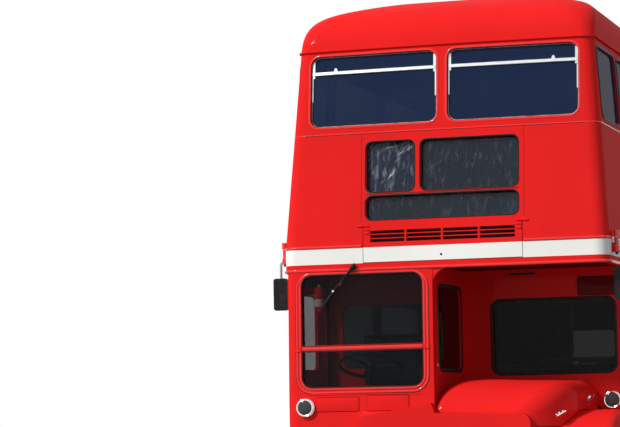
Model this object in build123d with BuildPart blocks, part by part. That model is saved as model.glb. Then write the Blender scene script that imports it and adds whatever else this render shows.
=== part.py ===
from build123d import *
import os
from math import cos, radians, sin, sqrt

# A front-engined double-decker bus with a half cab, an open rear platform and
# a curved staircase. Millimetres, +X nearside, +Y rearward, +Z up. The origin
# lies on the ground under the middle of the vehicle.

# Whole vehicle
length = 8390
width = 2438
height = 4380
front_overhang = 790
rear_overhang = 2469
platform_length = 1552
cowl_depth = 60

# Body lines above the ground
skirt_z = 300
platform_z = 370
lower_floor_z = 660
rail_z = 2262
band_z = 2318
band_top_z = 2432
upper_floor_z = 2510
gutter_z = 3919

# Body shell
wall = 45
floor_thick = 40
deck_thick = 50
body_step = 19
lean_in = 99
band_setback = 30
gutter_setback = 170
rear_lean = 90
band_bow = 4
gutter_bow = 42
front_corner = 100
rear_corner = 180
gutter_lip = 14
gutter_thick = 12

# Window bays
bulkhead_y = 1000
bay_start = 1045
bay_count = 4
pillar = 90
rear_post = 652
window_corner = 60
lower_sill_z = 1425
lower_head_z = 2110
upper_sill_z = 3335
upper_head_z = 3860
glass_depth = 12
front_glass_depth = 24
glass_thick = 6
seat_gap = 0.3

# Upper front face
front_window_x0 = 40
front_window_x1 = 1015
front_sill_z = 3344
front_head_z = 3882
front_post = 285
blind_depth = 42
box_back = 260
flap_half = 600
flap_gap = 5
knuckle_radius = 8
knuckle_length = 42
flap_top_z = 2590
grille_z0 = 2466
grille_z1 = 2558
grille_pitch = 275
grille_post = 13
slot_pitch = 31
slot_web = 7

# Cab
cab_near_x = -77
cab_floor_z = 1085
cab_floor_thick = 25
cab_corner = 85
cab_rake_z = 1300
cab_rake = 30
screen_x0 = -1072
screen_x1 = -157
screen_z0 = 1414
screen_z1 = 2236
screen_bar_z0 = 1674
screen_bar_z1 = 1723
screen_corner = 75
screen_rims = [(48, 8), (20, 15)]
door_y0 = 330
door_y1 = 930
door_z0 = 1140
door_z1 = 2200
door_thick = 26
door_clear = 5
door_travel = 590
runner_size = 16

# Wheels, axles and steering
tyre_radius = 508
tyre_width = 255
rim_radius = 268
hub_radius = 95
front_wheel_x = 1030
rear_wheel_x = 910
twin_spacing = 290
arch_radius = 590
rear_arch_radius = 572
kingpin_x = 880
kingpin_radius = 18
knuckle_clear = 0.3
stub_radius = 35
rear_stub_radius = 45
axle_clear = 0.3
front_box_x = 588
box_clear = 35
box_wall = 20

# Bonnet and radiator cowl
bonnet_near_x = 930
bonnet_top_z = 1470
bonnet_low_z = 1100
bonnet_skin = 20
bonnet_gap = 6
hinge_x = -7
hinge_z = 1417
hinge_gap = 0.3
cowl_x0 = -655
cowl_x1 = 640
cowl_low_z = 420
grille_x0 = -440
grille_x1 = 380
grille_low_z = 520
grille_top_z = 1060

# Staircase
winder_count = 5
flight_count = 3
flight_going = 220
stair_width = 590
tread_lap = 30

# Seats
seat_width = 880
cushion_thick = 90
cushion_depth = 430
cushion_height = 450
back_thick = 75
back_height = 930

# Places worked out from the sizes above
half_width = width / 2
lower_half = half_width - body_step
front_y = -length / 2
rear_y = length / 2
cab_y = front_y + cowl_depth
front_axle_y = front_y + front_overhang
rear_axle_y = rear_y - rear_overhang
platform_y = rear_y - platform_length
bay_pitch = (platform_y - pillar / 2 - cab_y - bay_start) / bay_count
deck_under_z = upper_floor_z - deck_thick
inner_half = lower_half - wall
rail_inner = half_width - wall
bulk_y = cab_y + bulkhead_y
stair_pivot_x = -inner_half + stair_width
stair_pivot_y = rear_y - wall - 815
flight_end_y = stair_pivot_y - flight_count * flight_going
step_rise = (upper_floor_z - platform_z) / (winder_count + flight_count + 1)
rear_box_x = rear_wheel_x - twin_spacing / 2 - tyre_width / 2 - box_clear

os.makedirs("parts", exist_ok=True)


def finish(piece, label):
    """Name a finished piece and write it to its own file."""
    piece.part.label = label
    export_step(piece.part, f"parts/{label}.step")


def plan_outline(z, half, front, rear, bow, radii, inset):
    """Plan of the upper body at one level: bowed front, rounded corners."""
    half_in = half - inset
    front_in = front + inset
    rear_in = rear - inset
    with BuildSketch(Plane.XY.offset(z)) as outline:
        with BuildLine():
            ThreePointArc((-half_in, front_in + bow), (0, front_in), (half_in, front_in + bow))
            Line((half_in, front_in + bow), (half_in, rear_in))
            Line((half_in, rear_in), (-half_in, rear_in))
            Line((-half_in, rear_in), (-half_in, front_in + bow))
        make_face()
        corners = outline.vertices().sort_by(Axis.Y)
        fillet(corners[:2], max(radii[0] - inset, 20))
        fillet(outline.vertices().sort_by(Axis.Y)[-2:], max(radii[1] - inset, 20))
    return outline.sketch


def waist_outline(z, inset):
    """The vertical band between the decks, at height z."""
    return plan_outline(z, half_width, cab_y + band_setback, rear_y, band_bow,
                        (front_corner, rear_corner), inset)


def gutter_outline(inset, z=gutter_z):
    """The top of the upper deck's walls."""
    return plan_outline(z, half_width - lean_in, cab_y + gutter_setback, rear_y - rear_lean,
                        gutter_bow, (front_corner, rear_corner), inset)


def bay_spans(first, last):
    """Front and rear edge of each side window in a run of bays."""
    spans = []
    for bay in range(first, last):
        start = cab_y + bay_start + bay * bay_pitch
        spans.append((start + pillar / 2, start + bay_pitch - pillar / 2))
    return spans


upper_spans = [(cab_y + front_post + 15, cab_y + bay_start - pillar / 2)]
upper_spans += bay_spans(0, bay_count)
upper_spans += [(platform_y, rear_y - rear_post)]
lower_spans = bay_spans(0, bay_count)


def side_windows(spans, z0, z1, grow):
    """Rounded window outlines in a side wall, larger all round by grow."""
    with BuildSketch(Plane.YZ) as outlines:
        for y0, y1 in spans:
            with Locations(((y0 + y1) / 2, (z0 + z1) / 2)):
                RectangleRounded(y1 - y0 + 2 * grow, z1 - z0 + 2 * grow, window_corner + grow)
    return outlines.sketch


# Openings in the upper front face: low x, low z, high x, high z, corner radius
front_openings = [
    (front_window_x0, front_sill_z, front_window_x1, front_head_z, 70),
    (-front_window_x1, front_sill_z, -front_window_x0, front_head_z, 70),
    (-577, 2842, -210, 3215, 45),
    (-162, 2842, 568, 3215, 45),
    (-577, 2637, 568, 2810, 45),
]
blind_openings = front_openings[2:]

# Openings in the upper rear face, in the same columns
rear_openings = [
    (-560, upper_sill_z, -25, upper_head_z, 60),
    (25, upper_sill_z, 560, upper_head_z, 60),
]
exit_half = 600
exit_z0 = upper_sill_z - 45
exit_z1 = upper_head_z + 35
exit_outline = (-exit_half, exit_z0, exit_half, exit_z1, 40)
exit_leaf = (-exit_half + flap_gap, exit_z0 + flap_gap, exit_half - flap_gap,
             exit_z1 - seat_gap, 35)


def face_openings(openings, grow, face_y=0):
    """Rounded outlines seen from the front, larger all round by grow."""
    with BuildSketch(Plane.XZ.offset(-face_y)) as outlines:
        for x0, z0, x1, z1, radius in openings:
            with Locations(((x0 + x1) / 2, (z0 + z1) / 2)):
                RectangleRounded(x1 - x0 + 2 * grow, z1 - z0 + 2 * grow, radius + grow)
    return outlines.sketch


def lean_share(z):
    """How far up the leaning walls of the upper deck a height lies, 0 to 1."""
    return (z - band_top_z) / (gutter_z - band_top_z)


# Hinge lines in the outer face: the flap's at the front, the exit's at the rear
flap_hinge_z = flap_top_z - seat_gap
flap_front_setback = band_setback + (gutter_setback - band_setback) * lean_share(flap_hinge_z)
flap_hinge_y = cab_y + flap_front_setback
exit_hinge_z = exit_z1 - seat_gap
exit_hinge_y = rear_y - rear_lean * lean_share(exit_hinge_z)
exit_knuckle_x = exit_half - 160

# Upper deck walls as one leaning shell, then split into its panels
with BuildPart() as upper_solid:
    loft(sections=[waist_outline(band_top_z, 0), gutter_outline(0)], ruled=True)

with BuildPart() as upper_shell:
    add(upper_solid.part)
    loft(sections=[waist_outline(band_top_z, wall), gutter_outline(wall)], ruled=True,
         mode=Mode.SUBTRACT)
    extrude(side_windows(upper_spans, upper_sill_z, upper_head_z, 0), amount=half_width + 1,
            both=True, mode=Mode.SUBTRACT)
    extrude(face_openings(front_openings, 0), amount=-front_y + 1, mode=Mode.SUBTRACT)

with BuildPart() as upper_front:
    add(upper_shell.part)
    with BuildSketch(Plane.XY.offset(band_top_z)):
        with Locations((0, cab_y + front_post / 2)):
            Rectangle(width, front_post)
    extrude(amount=gutter_z - band_top_z, mode=Mode.INTERSECT)
    with BuildSketch(Plane.XZ.offset(-cab_y)):
        with Locations((0, (band_top_z + flap_top_z) / 2)):
            Rectangle(2 * flap_half, flap_top_z - band_top_z)
    extrude(amount=-front_post, mode=Mode.SUBTRACT)
    for side in (1, -1):
        with BuildSketch(Plane.YZ.offset(side * (flap_half - flap_gap - knuckle_length))):
            with Locations((flap_hinge_y, flap_hinge_z)):
                Circle(knuckle_radius + seat_gap)
        extrude(amount=side * (knuckle_length + flap_gap), mode=Mode.SUBTRACT)
        with BuildSketch(Plane.YZ.offset(side * flap_half)):
            with Locations((flap_hinge_y, flap_hinge_z)):
                Circle(knuckle_radius)
        extrude(amount=side * knuckle_length)
finish(upper_front, "upper_front")

rear_split_y = rear_y - rear_corner - rear_lean
for side, label in ((1, "upper_side_near"), (-1, "upper_side_off")):
    with BuildPart() as upper_side:
        add(upper_shell.part)
        with BuildSketch(Plane.XY.offset(band_top_z)):
            with Locations((side * half_width / 2, (cab_y + front_post + rear_split_y) / 2)):
                Rectangle(half_width, rear_split_y - cab_y - front_post)
        extrude(amount=gutter_z - band_top_z, mode=Mode.INTERSECT)
    finish(upper_side, label)

with BuildPart() as upper_rear:
    add(upper_shell.part)
    with BuildSketch(Plane.XY.offset(band_top_z)):
        with Locations((0, (rear_split_y + rear_y) / 2)):
            Rectangle(width, rear_y - rear_split_y)
    extrude(amount=gutter_z - band_top_z, mode=Mode.INTERSECT)
    extrude(face_openings([exit_outline], 0), amount=-rear_y, mode=Mode.SUBTRACT)
    for side in (1, -1):
        with BuildSketch(Plane.YZ.offset(side * exit_knuckle_x)):
            with Locations((exit_hinge_y, exit_hinge_z)):
                Circle(knuckle_radius + seat_gap)
        extrude(amount=side * (knuckle_length + seat_gap), mode=Mode.SUBTRACT)
        with BuildSketch(Plane.YZ.offset(side * (exit_knuckle_x + knuckle_length + seat_gap))):
            with Locations((exit_hinge_y, exit_hinge_z)):
                Circle(knuckle_radius)
        extrude(amount=side * knuckle_length)
finish(upper_rear, "upper_rear")

# Emergency window at the back of the upper deck, hinged along its top edge
with BuildPart() as rear_exit:
    loft(sections=[waist_outline(band_top_z, 0), gutter_outline(0)], ruled=True)
    loft(sections=[waist_outline(band_top_z, wall), gutter_outline(wall)], ruled=True,
         mode=Mode.SUBTRACT)
    extrude(face_openings([exit_leaf], 0), amount=-rear_y, mode=Mode.INTERSECT)
    extrude(face_openings(rear_openings, 0), amount=-rear_y, mode=Mode.SUBTRACT)
    for side in (1, -1):
        with BuildSketch(Plane.YZ.offset(side * (exit_knuckle_x + knuckle_length))):
            with Locations((exit_hinge_y, exit_hinge_z)):
                Circle(knuckle_radius + seat_gap)
        extrude(amount=side * (knuckle_length + 2 * seat_gap), mode=Mode.SUBTRACT)
        with BuildSketch(Plane.YZ.offset(side * exit_knuckle_x)):
            with Locations((exit_hinge_y, exit_hinge_z)):
                Circle(knuckle_radius)
        extrude(amount=side * knuckle_length)
finish(rear_exit, "rear_exit")


def glass_layer(depth):
    """Thin leaning layer of glass all round, set in from the outer face."""
    with BuildPart() as layer:
        loft(sections=[waist_outline(band_top_z, depth), gutter_outline(depth)], ruled=True)
        loft(sections=[waist_outline(band_top_z, depth + glass_thick),
                       gutter_outline(depth + glass_thick)],
             ruled=True, mode=Mode.SUBTRACT)
    return layer.part


# Glass of the upper deck, one pane to each window
with BuildPart() as glazing_upper:
    add(glass_layer(glass_depth))
    extrude(side_windows(upper_spans, upper_sill_z, upper_head_z, -seat_gap),
            amount=-half_width, mode=Mode.INTERSECT)
    mirror(about=Plane.YZ)
finish(glazing_upper, "glazing_upper")

with BuildPart() as glazing_front:
    add(glass_layer(front_glass_depth))
    extrude(face_openings(front_openings, -seat_gap), amount=-front_y, mode=Mode.INTERSECT)
finish(glazing_front, "glazing_front")

with BuildPart() as exit_glass:
    add(glass_layer(glass_depth))
    extrude(face_openings(rear_openings, -seat_gap), amount=-rear_y, mode=Mode.INTERSECT)
finish(exit_glass, "exit_glass")

# Destination boxes behind the front face, closed blocks with a blind in front
with BuildPart() as blind_boxes:
    loft(sections=[waist_outline(band_top_z, blind_depth), gutter_outline(blind_depth)],
         ruled=True)
    extrude(face_openings(blind_openings, -seat_gap), amount=-front_y, mode=Mode.INTERSECT)
    with BuildSketch(Plane.XY.offset(band_top_z)):
        with Locations((0, cab_y + box_back / 2)):
            Rectangle(width, box_back)
    extrude(amount=gutter_z - band_top_z, mode=Mode.INTERSECT)
finish(blind_boxes, "blind_boxes")

# Rail and pale band between the decks, closed rings with the flap's gap
ring_table = [
    # label, low z, high z
    ("canopy_rail", rail_z, band_z),
    ("cream_band", band_z, band_top_z),
]
for label, z0, z1 in ring_table:
    with BuildPart() as ring:
        extrude(waist_outline(z0, 0), amount=z1 - z0)
        extrude(waist_outline(z0, wall), amount=z1 - z0, mode=Mode.SUBTRACT)
        if label == "cream_band":
            with BuildSketch(Plane.XZ.offset(-cab_y)):
                with Locations((0, (z0 + z1) / 2)):
                    Rectangle(2 * flap_half, z1 - z0)
            extrude(amount=-front_post, mode=Mode.SUBTRACT)
    finish(ring, label)

# Ventilator flap with its grille, from the band up to its hinge line
with BuildPart() as vent_flap:
    loft(sections=[waist_outline(band_top_z, 0), gutter_outline(0)], ruled=True)
    loft(sections=[waist_outline(band_top_z, wall), gutter_outline(wall)], ruled=True,
         mode=Mode.SUBTRACT)
    extrude(waist_outline(band_z, 0), amount=band_top_z - band_z)
    extrude(waist_outline(band_z, wall), amount=band_top_z - band_z, mode=Mode.SUBTRACT)
    with BuildSketch(Plane.XZ):
        with Locations((0, (band_z + flap_gap + flap_top_z - seat_gap) / 2)):
            Rectangle(2 * (flap_half - flap_gap), flap_top_z - band_z - flap_gap - seat_gap)
    extrude(amount=-front_y, mode=Mode.INTERSECT)
    with BuildSketch(Plane.XZ):
        with Locations((0, (grille_z0 + grille_z1) / 2)):
            with GridLocations(grille_pitch, slot_pitch, 4, 3):
                Rectangle(grille_pitch - grille_post, slot_pitch - slot_web)
    extrude(amount=-front_y, mode=Mode.SUBTRACT)
    for side in (1, -1):
        with BuildSketch(Plane.YZ.offset(side * (flap_half - flap_gap - knuckle_length))):
            with Locations((flap_hinge_y, flap_hinge_z)):
                Circle(knuckle_radius)
        extrude(amount=side * knuckle_length)
finish(vent_flap, "vent_flap")

# Domed roof: share of the rise, share of the half width, setback behind the
# gutter at the front and at the rear, corner radius
roof_rise = height - gutter_z - gutter_thick
roof_table = [
    (0, 1, 0, 0, 100),
    (0.243, 0.997, 22, 22, 150),
    (0.488, 0.969, 92, 80, 210),
    (0.688, 0.880, 230, 210, 290),
    (0.844, 0.705, 470, 470, 330),
    (0.938, 0.482, 730, 730, 300),
    (0.970, 0.268, 980, 980, 200),
    (1, 0.090, 1190, 1190, 60),
]
roof_levels = [(gutter_z + gutter_thick + share * roof_rise, half_share * (half_width - lean_in),
                gutter_setback + front_back, rear_lean + rear_back, radius)
               for share, half_share, front_back, rear_back, radius in roof_table]


def roof_outline(level, inset):
    """Plan of the roof at one level of the table, set in by a wall."""
    z, half, front, rear, radius = level
    drop = 0 if level is roof_levels[0] else inset
    bow = gutter_bow * half / (half_width - lean_in)
    return plan_outline(z - drop, half, cab_y + front, rear_y - rear, bow,
                        (radius, radius), inset)


with BuildPart() as roof:
    loft(sections=[roof_outline(level, 0) for level in roof_levels])
    loft(sections=[roof_outline(level, wall) for level in roof_levels], mode=Mode.SUBTRACT)
    extrude(gutter_outline(-gutter_lip), amount=gutter_thick)
    extrude(gutter_outline(wall), amount=gutter_thick, mode=Mode.SUBTRACT)
finish(roof, "roof")

# Upper deck floor with the stairwell at the offside rear
with BuildPart() as upper_floor:
    extrude(waist_outline(deck_under_z, wall + 16), amount=deck_thick)
    with BuildSketch(Plane.XY.offset(deck_under_z)):
        with Locations(((-width / 2 + stair_pivot_x) / 2, (flight_end_y + rear_y) / 2)):
            Rectangle(width / 2 + stair_pivot_x, rear_y - flight_end_y)
    extrude(amount=deck_thick, mode=Mode.SUBTRACT)
finish(upper_floor, "upper_floor")

# Lining under the canopy and over the cab
canopy_thick = 18
with BuildPart() as canopy_panel:
    extrude(waist_outline(rail_z + 20, wall), amount=canopy_thick)
    with BuildSketch(Plane.XY.offset(rail_z)):
        with Locations((0, (bulk_y + rear_y) / 2)):
            Rectangle(width, rear_y - bulk_y)
    extrude(amount=band_top_z - rail_z, mode=Mode.SUBTRACT)
finish(canopy_panel, "canopy_panel")

# Other windows of the lower deck: low x or y, low z, high x or y, high z, radius
bulkhead_windows = [
    (140, 1500, 1075, 2045, 60),
    (-1050, 1560, -250, 2045, 60),
]
rear_window = (-720, 1480, -240, 2020, 60)
cab_window = (cab_y + 190, 1535, cab_y + 890, 2135, 60)
door_window = (cab_y + door_y0 + 75, 1555, cab_y + door_y1 - 75, 2115, 60)


def side_opening(opening, face_x, grow):
    """One rounded outline in a wall seen from the side, larger by grow."""
    y0, z0, y1, z1, radius = opening
    with BuildSketch(Plane.YZ.offset(face_x)) as outline:
        with Locations(((y0 + y1) / 2, (z0 + z1) / 2)):
            RectangleRounded(y1 - y0 + 2 * grow, z1 - z0 + 2 * grow, radius + grow)
    return outline.sketch


# Lower side walls with their windows and wheel arches
near_end_y = platform_y
off_end_y = rear_y - 2 * rear_corner
lower_side_table = [
    # label, side, rear end
    ("lower_side_near", 1, near_end_y),
    ("lower_side_off", -1, off_end_y),
]
arch_centres = [(front_axle_y, arch_radius), (rear_axle_y, rear_arch_radius)]
for label, side, end_y in lower_side_table:
    with BuildPart() as lower_side:
        with BuildSketch(Plane.XY.offset(skirt_z)):
            with Locations((side * (lower_half - wall / 2), (bulk_y + end_y) / 2)):
                Rectangle(wall, end_y - bulk_y)
        extrude(amount=rail_z - skirt_z)
        extrude(side_windows(lower_spans, lower_sill_z, lower_head_z, 0),
                amount=side * half_width, mode=Mode.SUBTRACT)
        with BuildSketch(Plane.YZ):
            for arch_y, radius in arch_centres:
                with Locations((arch_y, tyre_radius)):
                    Circle(radius)
                with Locations((arch_y, tyre_radius / 2)):
                    Rectangle(2 * radius, tyre_radius)
        extrude(amount=side * half_width, mode=Mode.SUBTRACT)
        if side < 0:
            with BuildSketch(Plane.YZ.offset(-lower_half)):
                with Locations((bulk_y + door_travel / 2, door_z0 - runner_size / 2)):
                    Rectangle(door_travel, runner_size)
                with Locations((bulk_y + door_travel / 2, door_z1 + runner_size / 2)):
                    Rectangle(door_travel, runner_size)
            extrude(amount=-door_thick - door_clear)
    finish(lower_side, label)

# Lower deck glass
with BuildPart() as glazing_lower:
    extrude(side_windows(lower_spans, lower_sill_z, lower_head_z, -seat_gap),
            amount=lower_half - glass_depth, both=True)
    with BuildSketch(Plane.XY):
        Rectangle(2 * (lower_half - glass_depth - glass_thick), length)
    extrude(amount=height, mode=Mode.SUBTRACT)
    extrude(face_openings(bulkhead_windows, -seat_gap, bulk_y + wall / 2), amount=glass_thick)
    extrude(face_openings([rear_window], -seat_gap, rear_y - glass_depth), amount=glass_thick)
finish(glazing_lower, "glazing_lower")

# Rear wall behind the stairs, rounded into the offside
rear_wall_x = -100
tail_lamp_radius = 45
tail_lamp_places = [(-960, 900), (-160, 1250)]
with BuildPart() as lower_rear:
    with BuildSketch(Plane.XY.offset(skirt_z)) as rear_plan:
        with BuildLine():
            Polyline((rear_wall_x, rear_y), (-lower_half, rear_y), (-lower_half, off_end_y),
                     (-inner_half, off_end_y), (-inner_half, rear_y - wall),
                     (rear_wall_x, rear_y - wall), close=True)
        make_face()
        outer_corner = rear_plan.vertices().sort_by_distance((-lower_half, rear_y, skirt_z))[0]
        fillet(outer_corner, rear_corner)
        inner_corner = rear_plan.vertices().sort_by_distance((-inner_half, rear_y - wall, skirt_z))
        fillet(inner_corner[0], rear_corner - wall)
    extrude(amount=rail_z - skirt_z)
    extrude(face_openings([rear_window], 0), amount=-rear_y, mode=Mode.SUBTRACT)
    with BuildSketch(Plane.XZ.offset(-rear_y)):
        with Locations(*tail_lamp_places):
            Circle(tail_lamp_radius + seat_gap)
    extrude(amount=wall, mode=Mode.SUBTRACT)
finish(lower_rear, "lower_rear")

# Front wall of the lower saloon, with a window each side of the cab wall
with BuildPart() as front_bulkhead:
    with BuildSketch(Plane.XY.offset(lower_floor_z - floor_thick)):
        with Locations((0, bulk_y + wall / 2)):
            Rectangle(2 * inner_half, wall)
    extrude(amount=deck_under_z - lower_floor_z + floor_thick)
    extrude(face_openings(bulkhead_windows, 0), amount=-front_y, mode=Mode.SUBTRACT)
    for side in (1, -1):
        with BuildSketch(Plane.YZ.offset(side * front_box_x)):
            with Locations((front_axle_y, tyre_radius)):
                Circle(arch_radius)
        extrude(amount=side * half_width, mode=Mode.SUBTRACT)
finish(front_bulkhead, "front_bulkhead")

# Lower saloon floor with its wheel boxes
wheel_boxes = [
    # axle place, inner face, radius
    (front_axle_y, front_box_x, arch_radius),
    (rear_axle_y, rear_box_x, rear_arch_radius),
]
with BuildPart() as lower_floor:
    with BuildSketch(Plane.XY.offset(lower_floor_z - floor_thick)):
        with Locations((0, (bulk_y + wall + platform_y) / 2)):
            Rectangle(2 * inner_half, platform_y - bulk_y - wall)
    extrude(amount=floor_thick)
    for side in (1, -1):
        for axle_y, box_x, radius in wheel_boxes:
            with BuildSketch(Plane.YZ.offset(side * (box_x - box_wall))):
                with Locations((axle_y, tyre_radius)):
                    Circle(radius + box_wall)
            extrude(amount=side * (inner_half - box_x + box_wall))
            with BuildSketch(Plane.YZ.offset(side * box_x)):
                with Locations((axle_y, tyre_radius)):
                    Circle(radius)
            extrude(amount=side * (inner_half - box_x), mode=Mode.SUBTRACT)
    split(bisect_by=Plane.XY.offset(lower_floor_z - floor_thick), keep=Keep.TOP)
    split(bisect_by=Plane.XZ.offset(-bulk_y - wall), keep=Keep.BOTTOM)
finish(lower_floor, "lower_floor")

# Open platform at the back with the step up to the saloon
platform_half = half_width - body_step
with BuildPart() as rear_platform:
    with BuildSketch(Plane.XY.offset(platform_z - floor_thick)) as platform_plan:
        with BuildLine():
            Polyline((-inner_half, platform_y), (platform_half, platform_y),
                     (platform_half, rear_y), (rear_wall_x, rear_y),
                     (rear_wall_x, rear_y - wall), (-inner_half, rear_y - wall), close=True)
        make_face()
        fillet(platform_plan.vertices().sort_by_distance((platform_half, rear_y, 330))[0], 150)
        tucked = platform_plan.vertices().sort_by_distance((-inner_half, rear_y - wall, 330))
        fillet(tucked[0], rear_corner - wall)
    extrude(amount=floor_thick)
    with BuildSketch(Plane.XY.offset(platform_z)):
        with Locations(((platform_half - inner_half) / 2, platform_y + 10)):
            Rectangle(platform_half + inner_half, 20)
    extrude(amount=lower_floor_z - platform_z)
finish(rear_platform, "rear_platform")

# Curved staircase: winders round the pivot corner, then a flight forwards
stair_rear_y = rear_y - wall - rear_corner / 3
with BuildPart() as staircase:
    for step in range(winder_count):
        turn = 90 / winder_count
        low = 90 + step * turn
        top_z = platform_z + (step + 1) * step_rise
        low_z = max(platform_z, top_z - step_rise - tread_lap)
        with BuildSketch(Plane.XY.offset(low_z)):
            with BuildLine():
                Polyline((stair_pivot_x, stair_pivot_y),
                         (stair_pivot_x + 2000 * cos(radians(low)),
                          stair_pivot_y + 2000 * sin(radians(low))),
                         (stair_pivot_x + 2000 * cos(radians(low + turn)),
                          stair_pivot_y + 2000 * sin(radians(low + turn))), close=True)
            make_face()
            with Locations((stair_pivot_x - stair_width / 2, (stair_pivot_y + stair_rear_y) / 2)):
                Rectangle(stair_width - 60, stair_rear_y - stair_pivot_y, mode=Mode.INTERSECT)
        extrude(amount=top_z - low_z)
    for step in range(flight_count):
        top_z = platform_z + (winder_count + step + 1) * step_rise
        with BuildSketch(Plane.XY.offset(top_z - step_rise - tread_lap)):
            with Locations((stair_pivot_x - stair_width / 2,
                            stair_pivot_y - (step + 0.5) * flight_going)):
                Rectangle(stair_width - 60, flight_going)
        extrude(amount=step_rise + tread_lap)
finish(staircase, "staircase")


def screen_outline(grow):
    """Outline of the whole windscreen seen from the front, larger by grow."""
    with BuildSketch(Plane.XZ.offset(-front_y)) as outline:
        with Locations(((screen_x0 + screen_x1) / 2, (screen_z0 + screen_z1) / 2)):
            RectangleRounded(screen_x1 - screen_x0 + 2 * grow, screen_z1 - screen_z0 + 2 * grow,
                             screen_corner + grow)
    return outline.sketch


def screen_step(grow, rise):
    """One raised step round the windscreen, lying on the raked front."""
    with BuildPart() as step:
        with BuildSketch(Plane.YZ.offset(screen_x0 - grow)):
            with BuildLine():
                Polyline((cab_y - rise, cab_rake_z), (cab_y + cab_rake - rise, rail_z),
                         (cab_y + cab_rake + 1, rail_z), (cab_y + 1, cab_rake_z), close=True)
            make_face()
        extrude(amount=screen_x1 - screen_x0 + 2 * grow)
        extrude(screen_outline(grow), amount=-2 * cowl_depth - wall, mode=Mode.INTERSECT)
    return step.part


# Two raised steps round the windscreen, the wide one first: grow, height
screen_steps = [screen_step(grow, rise) for grow, rise in screen_rims]
with BuildPart() as screen_rim:
    for step in screen_steps:
        add(step)

# Cab shell: raked front and offside wall in one, with screen, door and arch
with BuildPart() as cab_shell:
    with BuildSketch(Plane.YZ.offset(cab_near_x)):
        with BuildLine():
            Polyline((cab_y, skirt_z), (cab_y, cab_rake_z), (cab_y + cab_rake, rail_z),
                     (bulk_y, rail_z), (bulk_y, skirt_z), close=True)
        make_face()
    extrude(amount=-(lower_half + cab_near_x))
    outer_edges = cab_shell.edges().filter_by_position(Axis.X, -lower_half - 1, -lower_half + 1)
    fillet(outer_edges.filter_by_position(Axis.Y, cab_y - 1, cab_y + cab_rake + 1), cab_corner)
    with BuildSketch(Plane.YZ.offset(cab_near_x)):
        with BuildLine():
            Polyline((cab_y + wall, skirt_z), (cab_y + wall, cab_rake_z),
                     (cab_y + wall + cab_rake, rail_z), (bulk_y, rail_z), (bulk_y, skirt_z),
                     close=True)
        make_face()
    extrude(amount=-(inner_half + cab_near_x), mode=Mode.SUBTRACT)
    with BuildSketch(Plane.XZ.offset(-cab_y)):
        with Locations(((screen_x0 + screen_x1) / 2, (screen_z0 + screen_z1) / 2)):
            RectangleRounded(screen_x1 - screen_x0, screen_z1 - screen_z0, screen_corner)
        with Locations(((screen_x0 + screen_x1) / 2, (screen_bar_z0 + screen_bar_z1) / 2)):
            Rectangle(screen_x1 - screen_x0, screen_bar_z1 - screen_bar_z0, mode=Mode.SUBTRACT)
    extrude(amount=2 * wall, both=True, mode=Mode.SUBTRACT)
    with BuildSketch(Plane.YZ.offset(-lower_half)):
        with Locations((cab_y + (door_y0 + door_y1) / 2, (door_z0 + door_z1) / 2)):
            RectangleRounded(door_y1 - door_y0 - 40, door_z1 - door_z0 - 40, 50)
        with Locations((front_axle_y, tyre_radius)):
            Circle(arch_radius)
        with Locations((front_axle_y, tyre_radius / 2)):
            Rectangle(2 * arch_radius, tyre_radius)
    extrude(amount=wall, mode=Mode.SUBTRACT)
    with BuildSketch(Plane.YZ.offset(-lower_half)):
        runner_length = bulk_y - cab_y - door_y0
        for runner_z in (door_z0 - runner_size / 2, door_z1 + runner_size / 2):
            with Locations((bulk_y - runner_length / 2, runner_z)):
                Rectangle(runner_length, runner_size)
    extrude(amount=-door_thick - door_clear)
finish(cab_shell, "cab_shell")

# Cab windscreen: two panes, one above and one below the bar
with BuildPart() as windscreen:
    with BuildSketch(Plane.YZ.offset(screen_x0 + seat_gap)):
        with BuildLine():
            Polyline((cab_y + glass_depth, cab_rake_z),
                     (cab_y + glass_depth + cab_rake, rail_z),
                     (cab_y + glass_depth + glass_thick + cab_rake, rail_z),
                     (cab_y + glass_depth + glass_thick, cab_rake_z), close=True)
        make_face()
    extrude(amount=screen_x1 - screen_x0 - 2 * seat_gap)
    with BuildSketch(Plane.XZ.offset(-cab_y)):
        with Locations(((screen_x0 + screen_x1) / 2, (screen_z0 + screen_z1) / 2)):
            RectangleRounded(screen_x1 - screen_x0 - 2 * seat_gap,
                             screen_z1 - screen_z0 - 2 * seat_gap, screen_corner - seat_gap)
        with Locations(((screen_x0 + screen_x1) / 2, (screen_bar_z0 + screen_bar_z1) / 2)):
            Rectangle(screen_x1 - screen_x0, screen_bar_z1 - screen_bar_z0 + 2 * seat_gap,
                      mode=Mode.SUBTRACT)
    extrude(amount=-2 * wall, mode=Mode.INTERSECT)
finish(windscreen, "windscreen")

# Sliding cab door between its two runners, outside the offside wall
with BuildPart() as cab_door:
    with BuildSketch(Plane.YZ.offset(-lower_half - door_clear)):
        with Locations((cab_y + (door_y0 + door_y1) / 2, (door_z0 + door_z1) / 2)):
            Rectangle(door_y1 - door_y0, door_z1 - door_z0 - 2 * seat_gap)
    extrude(amount=-door_thick)
    extrude(side_opening(door_window, 0, 0), amount=-width, mode=Mode.SUBTRACT)
finish(cab_door, "cab_door")

with BuildPart() as door_glass:
    door_glass_x = -lower_half - door_clear - (door_thick - glass_thick) / 2
    extrude(side_opening(door_window, door_glass_x, -seat_gap), amount=-glass_thick)
finish(door_glass, "door_glass")

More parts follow.
